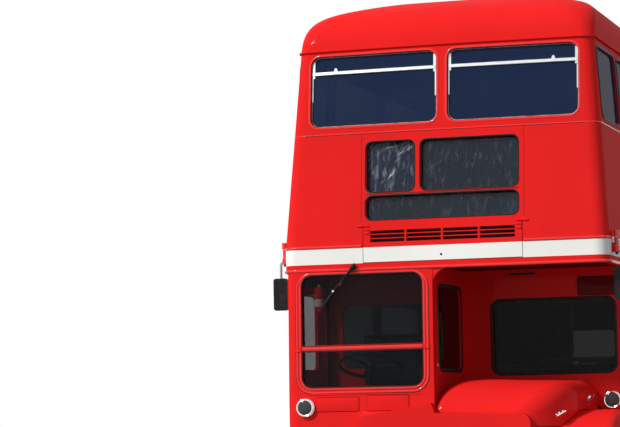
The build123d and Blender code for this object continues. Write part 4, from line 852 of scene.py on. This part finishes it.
def wiper_set():
    """Rubber boot, thin arm and blade of the windscreen wiper."""
    base = Vector((-0.670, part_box("wiper")[1].y, 2.290))
    slope = Vector((-0.62, 0, -0.78)).normalized()
    arm_y = cab_y - 0.006
    joint = Vector((-0.822, arm_y, 2.118))
    tip = Vector((-0.917, arm_y, 1.994))
    root = base + Vector((0, -0.040, -0.006))
    piece = make(
        "wiper_arm", black_rubber, "bus", "rubber_black",
        turned([(0.0, 0.0), (0.0, 0.022), (0.010, 0.0215), (0.020, 0.019), (0.024, 0.020),
                (0.034, 0.015), (0.038, 0.016), (0.047, 0.009), (0.050, 0.0)], base, ahead, 28),
        turned([(-0.030, 0.0), (-0.030, 0.009), (-0.022, 0.014), (0.020, 0.016), (0.026, 0.013),
                (0.034, 0.014), (0.050, 0.010), (0.074, 0.005), (0.075, 0.0)],
               base + Vector((0, -0.028, 0)), slope, 24),
        rod([root, Vector((-0.700, arm_y, 2.258)), joint], 0.0045),
        slab([joint + Vector((0.008, 0, 0)), joint + Vector((-0.002, 0, 0.008)),
              tip + Vector((-0.006, 0, 0.004)), tip + Vector((0.003, 0, -0.003))], 0.006, back))
    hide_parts("wiper")
    make("wiper_clip", chromium, "bus", "chrome",
         turned([(-0.006, 0.0), (-0.006, 0.008), (0.004, 0.008), (0.005, 0.0)], joint, ahead, 16))


def bulkhead_details():
    """Gaskets and panels of the bulkhead and the cab's side wall, and a black strip for the
    bulkhead's slot that paints the shade in it.
    """
    panel_rect, handle_rect = (0.800, 2.072, 1.105, 2.212), (0.850, 1.150, 0.960, 1.235)
    make("bulkhead_rubbers_and_slot_shade", black_rubber, "bus", "rubber_black",
         surround(bulkhead_skin, "front", bulkhead_window, 0.060, 0.008, 0.022, 0.004),
         surround(inner_wall_skin, "near", cab_side_window, 0.060, 0.012, 0.030, 0.004),
         # The bulkhead's slot is a black strip: painted shade inside the slot.
         bar(bulkhead_skin, "front", line_places(0.277, 2.247, 0.478, 2.247), 0.016, 0.003),
         surround(bulkhead_skin, "front", panel_rect, 0.020, 0.0, 0.006, 0.004))
    make("bulkhead_panels", maroon_lining_and_canopy_shade, "bus", "lining",
         raised_plate(bulkhead_skin, "front", panel_rect, 0.020, 0.003, 0.002),
         raised_plate(bulkhead_skin, "front", handle_rect, 0.010, 0.003, 0.002))
    make("bonnet_stop", pale_stop_and_edge_highlight, "bus", "rubber_black",
         *domes(inner_wall_skin, "near", [(cab_y + 0.12, 1.56)], 0.010, 0.014, 16))


def lamp_rims_and_catches():
    """Chromed rims of the lamps and the bonnet's side catches."""
    rims = []
    for x, y, z, radius, depth in (
            # x, mounting face, z, radius, rim depth
            (-1.050, cab_y, 1.268, 0.063, 0.026), (1.045, bulkhead_y, 1.282, 0.063, 0.026),
            (-0.930, cab_y, 0.800, 0.105, 0.034), (0.930, cab_y + 0.005, 0.800, 0.105, 0.034)):
        rims += [ring(Vector((x, y - depth, z)), ahead, radius - 0.004, 0.0075),
                 ring(Vector((x, y - 0.004, z)), ahead, radius + 0.001, 0.004)]
    make("lamp_rims", chromium, "bus", "chrome", *rims)
    catch_places = [(cab_y + 0.185, 1.190), (cab_y + 0.735, 1.300)]
    stand, grip_half, foot_apart = 0.019, 0.048, 0.034
    stem = [(-0.003, 0.0), (-0.003, 0.016), (0.005, 0.015), (0.014, 0.007), (stand, 0.007),
            (stand, 0.0)]
    foot = [(-0.006, 0.0), (-0.006, 0.012), (0.006, 0.011), (0.010, 0.0)]
    catches = []
    for point, normal in on_skin(bonnet_skin, "near", catch_places):
        lie = (normal.cross(up).normalized() * 0.9 - up * 0.35).normalized()
        grip = point + normal * stand
        catches += [turned(stem, point, normal, 20),
                    rod([grip - lie * grip_half, grip, grip + lie * grip_half], 0.0075, 10)]
        catches += [turned(foot, point + lie * (foot_apart * end), normal, 16)
                    for end in (-1, 1)]
    make("bonnet_catches", chromium, "bonnet", "chrome", *catches)


def mirror_brackets():
    """Red hinged brackets at the mirror arms, with a black joint, and the mirror glass."""
    brackets, joints, silver, arms = [], [], [], []
    arm_y, arm_z, bend = cab_y + 0.200, (band_z + band_top_z) / 2, 0.050
    face_y = arm_y + 0.0085
    for side in (1, -1):
        x0, hinge_x, mirror_x = side * 1.210, side * 1.252, side * 1.285
        outline = [(x0, 2.350), (side * 1.262, 2.358), (side * 1.266, 2.372), (x0, 2.400)]
        brackets += [slab([(x, arm_y - 0.012, z + lift) for x, z in outline], 0.024, back)
                     for lift in (0.0, 0.105)]
        brackets += [turned([(0.0, 0.0), (0.0, radius), (high - low, radius), (high - low, 0.0)],
                            Vector((hinge_x, arm_y, low)), up, 20)
                     for low, high, radius in ((2.340, 2.384, 0.021), (2.386, 2.450, 0.016),
                                               (2.452, 2.500, 0.022))]
        joints.append(turned([(0.0, 0.0), (0.0, 0.009), (0.022, 0.013), (0.022, 0.0)],
                             Vector((hinge_x, arm_y, 2.323)), up, 16))
        arm_path = [Vector((side * 1.2535, arm_y, arm_z))]
        arm_path += [Vector((mirror_x - side * (bend - bend * math.sin(a)), arm_y,
                             arm_z - bend + bend * math.cos(a)))
                     for a in map(math.radians, range(15, 91, 15))]
        arm_path.append(Vector((mirror_x, arm_y, 2.228)))
        arms.append(swept([(p, back) for p in arm_path], tube_section(0.0098, 12)))
        glass = rounded_loop(mirror_x - 0.047, 2.003, mirror_x + 0.047, 2.227, 0.014)
        silver.append(slab([(x, face_y, z) for x, z in glass], 0.002, back))
    make("mirror_brackets", bead_paint, "bus", "body_red", *brackets)
    make("mirror_joints", black_rubber, "bus", "rubber_black", *joints)
    make("mirror_glass", chromium, "bus", "chrome", *silver, smooth=False)
    make("mirror_arms", hub_steel, "bus", "grille_silver", *arms)


def side_window_rails():
    """Alloy rails of the side windows that wind down, with their side channels."""
    rails = []
    windows = [(view, *bays[bay], sill, head) for view in sides for bay in wind_down_bays
               for sill, head in ((upper_sill_z, upper_head_z), (lower_sill_z, lower_head_z))]
    for view, y0, y1, sill, head in windows:
        rail_at = sill + 0.64 * (head - sill)
        rails.append(bar(side_glass, view, line_places(y0 + 0.008, rail_at, y1 - 0.008, rail_at),
                         0.026, 0.010))
        rails += [bar(side_glass, view, line_places(y, sill + 0.060, y, head - 0.060),
                      0.012, 0.008) for y in (y0 + 0.014, y1 - 0.014)]
    make("side_window_rails", bright_alloy, "bus", "grille_silver", *rails)


def lower_body_trim():
    """Beads of the lower sides and the arches' edges."""
    beads = []
    skirt_z, joint_top_z, waist_z, cant_z = 0.33, 1.355, 1.372, 2.176
    rear_arch, front_arch, lip, arch_half = 0.572, 0.590, 0.014, 0.62
    for view in sides:
        start = bulkhead_y + 0.02 if view == "near" else door_reach
        beads += [bead(lower_skin, view, line_places(start, z, platform_y - pillar, z),
                       0.022, 0.008) for z in (waist_z, cant_z)]
        beads += [bead(lower_skin, view, line_places(y, skirt_z, y, joint_top_z), 0.014, 0.004)
                  for y in (end + pillar / 2 for _, end in bays[:-1])
                  if abs(y - rear_axle_y) > arch_half]
    turns = [math.radians(a) for a in range(0, 181, 6)]
    for centre, reach in ((rear_axle_y, rear_arch + lip), (front_axle_y, front_arch + lip)):
        arc = [(centre + reach * math.cos(a), tyre_radius + reach * math.sin(a)) for a in turns]
        beads += [bead(arch_skin, view, arc, 0.022, 0.009) for view in sides]
    make("lower_mouldings", bead_paint, "bus", "body_red", *beads)


def front_end_trim():
    """Bright surround of the radiator grille, blank number plates and tail lamp rims."""
    low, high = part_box("radiator_grille")
    middle = (low.x + high.x) / 2
    front_plate = (middle - 0.26, 0.428, middle + 0.26, 0.497)
    make("grille_surround", bright_alloy, "bus", "grille_silver",
         surround(cowl_skin, "front", (low.x, low.z, high.x, high.z), 0.05, 0.016, 0.030, 0.003))
    make("front_plate", black_gloss, "bus", "black_plastic",
         raised_plate(cowl_skin, "front", front_plate, 0.008, 0.003, 0.002))
    make("rear_plate", black_gloss, "bus", "black_plastic",
         raised_plate(rear_skin, "rear", (-0.86, 1.02, -0.42, 1.13), 0.010, 0.003, 0.002))
    make("tail_lamp_rims", chromium, "bus", "chrome",
         *[ring(Vector((x, rear_y - 0.003, z)), back, 0.047, 0.006)
           for x, z in ((-0.960, 0.900), (-0.160, 1.250))])


# Wheels
def tyres():
    """Road tyres with zigzag ribs in place of the plain ones."""
    steps, sway, rib_steps = 120, 0.0045, 4
    groove_half_top, groove_half_foot, tread_radius, groove_radius = 0.006, 0.004, 0.508, 0.497
    # Half of the section: across, radius, and 1 where the zigzag moves it
    half = [(x, r, 0) for x, r in (
        (0.0975, 0.2690), (0.1120, 0.2760), (0.1225, 0.3100), (0.1270, 0.3550),
        (0.1275, 0.3800), (0.1262, 0.4000), (0.1268, 0.4040), (0.1240, 0.4300),
        (0.1165, 0.4640), (0.1095, 0.4790), (0.1010, 0.4960), (0.0920, 0.5050))]
    for centre in (0.062, 0.022):
        half += [(centre + groove_half_top, tread_radius, 1),
                 (centre + groove_half_foot, groove_radius, 1),
                 (centre - groove_half_foot, groove_radius, 1),
                 (centre - groove_half_top, tread_radius, 1)]
    profile = half + [(-x, r, moved) for x, r, moved in reversed(half)]

    def tyre(centre_x, axle_y):
        points = []
        for i in range(steps):
            turn = math.tau * i / steps
            shift = sway * (1 if i % rib_steps < rib_steps / 2 else -1)
            points += [Vector((centre_x + x + shift * moved, axle_y + r * math.cos(turn),
                               tyre_radius + r * math.sin(turn))) for x, r, moved in profile]
        return points, grid_faces(steps, len(profile))

    for name, body, centres, axle_y in (
            ("front_tyre", "wheel_front", (1.030,), front_axle_y),
            ("rear_tyres", "wheels_rear", (0.765, 1.055), rear_axle_y)):
        for side, end in zip((1, -1), sides):
            piece = make(f"{name}_{end}_tread", tyre_rubber, f"{body}_{end}", "tyre",
                         *[tyre(side * centre, axle_y) for centre in centres])
            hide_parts(f"{name}_{end}")


def wheel_spokes(count, start=0.0):
    """Directions from the wheel's centre, evenly round it."""
    turns = [math.tau * (i + start) / count for i in range(count)]
    return [Vector((0, math.cos(a), math.sin(a))) for a in turns]


def nuts(centre, axis, directions, circle, radius, height, stud):
    """A circle of nuts, each with the end of its stud."""
    nut = [(0.0, 0.0), (0.0, radius), (height * 0.85, radius), (height, radius * 0.82),
           (height, 0.0)]
    end = [(0.0, 0.0), (0.0, stud), (height * 1.45, stud), (height * 1.6, 0.0)]
    return [turned(profile, centre + direction * circle, axis, steps)
            for direction in directions for profile, steps in ((nut, 6), (end, 10))]


def wheel_fittings():
    """Nuts, hub caps, nut rings and rim edges of the wheels."""
    nut_circle, ring_at = 0.165, 1.132
    for side, end in zip((1, -1), sides):
        out = Vector((side, 0, 0))
        front = Vector((0, front_axle_y, tyre_radius))
        rear = Vector((0, rear_axle_y, tyre_radius))
        make(f"front_hub_{end}", hub_steel, f"wheel_front_{end}", "chrome",
             *nuts(front + out * 1.0995, out, wheel_spokes(10, 0.5), nut_circle,
                   0.0150, 0.020, 0.0085),
             ring(front + out * ring_at, out, nut_circle, 0.0075, 60),
             *[rod([front + out * 1.100 + direction * nut_circle,
                    front + out * ring_at + direction * nut_circle], 0.006)
               for direction in wheel_spokes(5)],
             turned([(1.1395, 0.0), (1.1395, 0.058), (1.150, 0.056), (1.158, 0.040),
                     (1.172, 0.036), (1.178, 0.028), (1.180, 0.0)], front, out, 32))
        make(f"front_rim_edge_{end}", wheel_paint, f"wheel_front_{end}", "rim_red",
             ring(front + out * 1.141, out, 0.2600, 0.0085, 64),
             ring(front + out * 1.112, out, 0.2380, 0.0060, 64))
        make(f"rear_hub_{end}", hub_steel, f"wheels_rear_{end}", "chrome",
             *nuts(rear + out * 0.9345, out, wheel_spokes(10, 0.5), 0.195,
                   0.0170, 0.026, 0.0095),
             *nuts(rear + out * 1.1745, out, wheel_spokes(8), 0.062, 0.0085, 0.008, 0.005),
             turned([(1.1640, 0.0), (1.1640, 0.084), (1.1720, 0.084), (1.1745, 0.080),
                     (1.1745, 0.034), (1.186, 0.030), (1.188, 0.0)], rear, out, 32))
        make(f"rear_rim_edge_{end}", wheel_paint, f"wheels_rear_{end}", "rim_red",
             ring(rear + out * 1.1655, out, 0.2600, 0.0085, 64))


for trim in (body_mouldings, panel_joints_and_rim_shadow, mirror_brackets, side_window_rails, lower_body_trim,
             front_end_trim, tyres, wheel_fittings, rivet_rows, window_frames,
             front_window_fittings, blind_sheets, grille_details, canopy_corner,
             screen_details, wiper_set, bulkhead_details, lamp_rims_and_catches):
    trim()


# Seats
def solid_boxes(node_name):
    """Lowest and highest corner of each separate solid in a CAD node."""
    mesh = nodes[node_name].data
    places = {}
    owner = [places.setdefault(tuple(round(c, 5) for c in vertex.co), len(places))
             for vertex in mesh.vertices]
    parent = list(range(len(places)))

    def root(i):
        while parent[i] != i:
            parent[i] = parent[parent[i]]
            i = parent[i]
        return i

    for edge in mesh.edges:
        parent[root(owner[edge.vertices[0]])] = root(owner[edge.vertices[1]])
    groups = {}
    for key, index in places.items():
        groups.setdefault(root(index), []).append(key)
    boxes = [(Vector(map(min, zip(*group))), Vector(map(max, zip(*group))))
             for group in groups.values()]
    return sorted(boxes, key=lambda box: tuple(round(c, 3) for c in box[0]))


def evaluated_mesh(made):
    """The object's mesh with its modifiers applied."""
    return bpy.data.meshes.new_from_object(
        made.evaluated_get(bpy.context.evaluated_depsgraph_get()))


def apply_modifiers(made):
    """Put the evaluated mesh in the object's place and drop its modifiers."""
    made.data = evaluated_mesh(made)
    made.modifiers.clear()


def stuffed_pad(size, round_over, voxel, cap, subdivide=False):
    """A foam pad of the given size, swollen by cloth simulation: points and faces."""
    form = bmesh.new()
    bmesh.ops.create_cube(form, size=1.0)
    for vertex in form.verts:
        vertex.co = Vector(c * s for c, s in zip(vertex.co, size))
    bmesh.ops.bevel(form, geom=form.edges[:], offset=round_over, segments=3, profile=0.6,
                    affect="EDGES")
    mesh = bpy.data.meshes.new("pad_form")
    form.to_mesh(mesh)
    form.free()
    made = in_scene("pad_form", mesh)
    grid = made.modifiers.new("grid", "REMESH")
    grid.mode = "VOXEL"
    grid.voxel_size = voxel
    apply_modifiers(made)
    start = [v.co.copy() for v in made.data.vertices]
    cloth = made.modifiers.new("swell", "CLOTH")
    cloth.settings.quality = 5
    cloth.settings.use_pressure = True
    cloth.settings.uniform_pressure_force = 4.0
    cloth.settings.tension_stiffness = 18
    cloth.settings.compression_stiffness = 18
    cloth.settings.bending_stiffness = 4
    cloth.settings.effector_weights.gravity = 0
    for step in range(1, 21):
        bpy.context.scene.frame_set(step)
    swollen = evaluated_mesh(made)
    made.modifiers.clear()
    for vertex, before, after in zip(made.data.vertices, start, swollen.vertices):
        move = after.co - before
        if move.length > cap:
            move *= cap / move.length
        vertex.co = before + move
    bpy.data.meshes.remove(swollen)
    bpy.context.scene.frame_set(1)
    if subdivide:
        made.modifiers.new("finer", "SUBSURF").levels = 1
        apply_modifiers(made)
    points = [v.co.copy() for v in made.data.vertices]
    faces = [tuple(p.vertices) for p in made.data.polygons]
    bpy.data.objects.remove(made)
    return points, faces


def piping(points, faces, heading, axes, half_sizes, inset, radius):
    """A welt on the pad, round the face that looks against heading."""
    tree = BVHTree.FromPolygons(points, faces)
    half_a, half_b = (half - inset for half in half_sizes)
    path = []
    for a, b in rounded_loop(-half_a, -half_b, half_a, half_b, 0.030, stride=0.03):
        start = -heading
        start[axes[0]], start[axes[1]] = a, b
        point, normal, _, _ = tree.ray_cast(start, heading)
        path.append((point, normal))
    return swept(path, tube_section(radius, 6), True)


class Pad:
    """A stuffed pad and its welt, ready to be set down in several places."""

    def __init__(self, size, voxel, cap, heading, axes, subdivide=False):
        shrunk = tuple(s - 2 * cap * 0.8 for s in size)
        self.form = stuffed_pad(shrunk, min(shrunk) * 0.32, voxel, cap, subdivide)
        points, faces = self.form
        half = [shrunk[axis] / 2 for axis in axes]
        self.welt = piping(points, faces, heading, axes, half, min(shrunk) * 0.30, 0.0055)
        # Leathercloth: the borders, the side that looks along heading, and the welt
        self.trimmed = []
        for face in faces:
            centre = sum((points[i] for i in face), Vector()) / len(face)
            past = any(abs(centre[axis]) > shrunk[axis] / 2 - 0.030 for axis in axes)
            self.trimmed.append(past or centre.dot(heading) > 0)
        self.trimmed += [True] * len(self.welt[1])


def seat_piece(name, cloth, node_name, fill, *pads):
    """A padded piece of (pad, move) pairs, its trimmed faces leathercloth."""
    forms, trimmed = [], []
    for pad, move in pads:
        forms += [([move(p) for p in points], faces) for points, faces in (pad.form, pad.welt)]
        trimmed += pad.trimmed
    piece = make(name, cloth, "bus", "moquette" if cloth is moquette else "leathercloth", *forms)
    if cloth is not leathercloth:
        piece.data.materials.append(leathercloth)
        for face, is_trimmed in zip(piece.data.polygons, trimmed):
            face.material_index = int(is_trimmed)
    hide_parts(node_name)


def passenger_seats():
    """Double seats and long benches in place of the plain cushions."""
    double_least_height = 0.3
    doubles, benches = [], []
    for low, high in solid_boxes("seat_cushions"):
        kind = doubles if high.z - low.z > double_least_height else benches
        kind.append((low, high))
    width, squab_height, lean = 0.880, 0.490, 0.055
    cushion_thick, cushion_depth, squab_thick = 0.090, 0.420, 0.080
    voxel, cap = 0.020, 0.010
    cushion = Pad((width, cushion_depth, cushion_thick), voxel, cap, down, (0, 1))
    squab = Pad((width, squab_thick, squab_height), voxel, cap, back, (0, 2))
    side_x, foot, rise, bend = width / 2 - 0.060, -0.060, 0.026, 0.030
    corner = [(side_x, foot), (side_x, rise - bend)]
    corner += [(side_x - bend + bend * math.cos(a), rise - bend + bend * math.sin(a))
               for a in map(math.radians, range(15, 91, 15))]
    rail_outline = corner + [(-x, z) for x, z in reversed(corner)]
    rails = []
    for number, (low, high) in enumerate(doubles):
        middle = Vector(((low.x + high.x) / 2, low.y, low.z))
        cushion_at = middle + Vector((0, cushion_depth / 2, cushion_thick / 2))
        squab_at = middle + Vector((0, cushion_depth + squab_thick / 2 + 0.002,
                                    cushion_thick - 0.012 + squab_height / 2))

        def leaning(point):
            return squab_at + point + Vector((0, lean * (point.z / squab_height + 0.5), 0))

        seat_piece(f"seat_{number + 1:02d}", moquette, "seat_cushions", 0.8,
                   (cushion, lambda p: cushion_at + p), (squab, leaning))
        top = squab_at + Vector((0, lean, squab_height / 2))
        rails.append(swept([(top + Vector((x, 0, z)), back) for x, z in rail_outline],
                           tube_section(0.0105, 10)))
    make("seat_rails", seat_tube, "bus", "seat_frame", *rails)
    bench = Pad(tuple(benches[0][1] - benches[0][0]), voxel, cap, down, (0, 1))
    for number, (low, high) in enumerate(benches):
        seat_piece(f"bench_{number + 1}", moquette, "seat_cushions", 0.8,
                   (bench, lambda p: (low + high) / 2 + p))


def drivers_seat():
    """The driver's cushion and backrest on their pedestal."""
    low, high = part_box("driver_seat")
    middle_x = (low.x + high.x) / 2
    pedestal_height, cushion_thick, back_height = 0.230, 0.100, 0.420
    voxel, cap, fill = 0.012, 0.012, 0.85
    cushion = Pad((0.480, 0.430, cushion_thick), voxel, cap, down, (0, 1), True)
    at = Vector((middle_x, bulkhead_y - 0.250, low.z + pedestal_height + cushion_thick / 2))
    seat_piece("driver_cushion", leathercloth, "driver_seat", fill, (cushion, lambda p: at + p))
    backrest = Pad((0.460, 0.100, back_height), voxel, cap, back, (0, 2), True)
    behind = Vector((middle_x, bulkhead_y - 0.085, high.z - back_height / 2))
    seat_piece("driver_backrest", leathercloth, "driver_seat", fill,
               (backrest, lambda p: behind + p))
    outline = rounded_loop(middle_x - 0.180, bulkhead_y - 0.425, middle_x + 0.180,
                           bulkhead_y - 0.095, 0.020, stride=1.0)
    piece = make("driver_pedestal", chassis_paint, "bus", "chassis_black",
                 slab([(x, y, low.z) for x, y in outline], pedestal_height, up))
    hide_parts("driver_seat")


def cab_fittings():
    """Extinguisher on its bracket, and a hand wheel, seen through the windscreen."""
    bottle = Vector((-0.964, cab_y + 0.105, 1.962))
    wheel = Vector((-0.785, cab_y + 0.085, 2.172))
    make("cab_red_fittings", red_paint, "bus", "body_red",
         turned([(0.0, 0.0), (0.0, 0.028), (0.006, 0.034), (0.172, 0.034), (0.186, 0.028),
                 (0.194, 0.016), (0.196, 0.0)], bottle, up, 28),
         turned([(0.0, 0.0), (0.0, 0.016), (0.012, 0.020), (0.024, 0.016), (0.024, 0.0)],
                wheel, ahead, 24))
    make("extinguisher_band", cream_paint, "bus", "cream",
         turned([(0.050, 0.033), (0.050, 0.0346), (0.105, 0.0346), (0.105, 0.033)],
                bottle, up, 28, True))
    make("cab_metal_fittings", brass, "bus", "chrome",
         turned([(0.192, 0.0), (0.192, 0.010), (0.216, 0.010), (0.216, 0.0)], bottle, up, 16),
         rod([bottle + Vector((-0.150, 0.020, 0.135)), bottle + Vector((-0.030, 0.020, 0.135))],
             0.006),
         rod([(wheel.x, cab_y + 0.040, wheel.z), (wheel.x, cab_y + 0.087, wheel.z)], 0.006))


passenger_seats()
drivers_seat()
cab_fittings()


# Camera, lights and floor
def seen_rays(tree):
    """1 on what the camera sees directly, mirrored or through glass, else 0."""
    path = add_node(tree, "LightPath")
    value = path.outputs["Is Camera Ray"]
    for kind in ("Is Transmission Ray", "Is Glossy Ray"):
        value = combine(tree, "MAXIMUM", value, path.outputs[kind])
    return value


def set_stage():
    """Pale floor, soft studio light and the photograph's point of view."""
    floor_half = 150.0
    mesh = bpy.data.meshes.new("studio_floor")
    mesh.from_pydata([(-floor_half, -floor_half, 0), (floor_half, -floor_half, 0),
                      (floor_half, floor_half, 0), (-floor_half, floor_half, 0)], [],
                     [(0, 1, 2, 3)])
    floor = in_scene("studio_floor", mesh)
    made, tree, shader = principled("floor_paint", (0.80, 0.80, 0.79), 0.8)
    pale = blend_colour(tree, noise(tree, 2.0), (0.78, 0.78, 0.77), (0.82, 0.82, 0.81))
    dress(tree, shader, blend_colour(tree, seen_rays(tree), (0.20, 0.20, 0.20), pale))
    mesh.materials.append(made)

    key = bpy.data.lights.new("key", "SUN")
    key.energy = 3.1
    key.angle = math.radians(9)
    key.color = (1.0, 0.985, 0.95)
    sun = in_scene("key", key)
    sun.rotation_euler = Vector((0.52, 0.62, -0.62)).to_track_quat("-Z", "Y").to_euler()

    world = bpy.data.worlds.new("studio")
    bpy.context.scene.world = world
    world.use_nodes = True
    tree = world.node_tree
    ambient = tree.nodes["Background"]
    ambient.inputs["Color"].default_value = (0.90, 0.95, 1.0, 1)
    ambient.inputs["Strength"].default_value = 0.40
    seen = add_node(tree, "Background", ("Color", (1, 1, 1, 1)), ("Strength", 1.0))
    mix = add_node(tree, "MixShader", ("Fac", seen_rays(tree)),
                   (1, ambient.outputs["Background"]), (2, seen.outputs["Background"]))
    tree.links.new(mix.outputs["Shader"], tree.nodes["World Output"].inputs["Surface"])

    camera_data = bpy.data.cameras.new("camera")
    camera_data.sensor_width = 36.0
    camera_data.lens = 148.06
    camera_data.clip_end = 500.0
    camera = in_scene("camera", camera_data)
    yaw, pitch, roll = math.radians(17.06), math.radians(4.41), math.radians(1.16)
    looking = Vector((-math.sin(yaw) * math.cos(pitch), math.cos(yaw) * math.cos(pitch),
                      math.sin(pitch)))
    level = Vector((math.cos(yaw), math.sin(yaw), 0))
    upright = level.cross(looking)
    right = level * math.cos(roll) - upright * math.sin(roll)
    top = upright * math.cos(roll) + level * math.sin(roll)
    camera.rotation_euler = Matrix((right, top, -looking)).transposed().to_euler()
    camera.location = (4.52, cab_y - 17.95, 1.25)
    bpy.context.scene.camera = camera
    bpy.context.scene.view_settings.view_transform = "Standard"


set_stage()
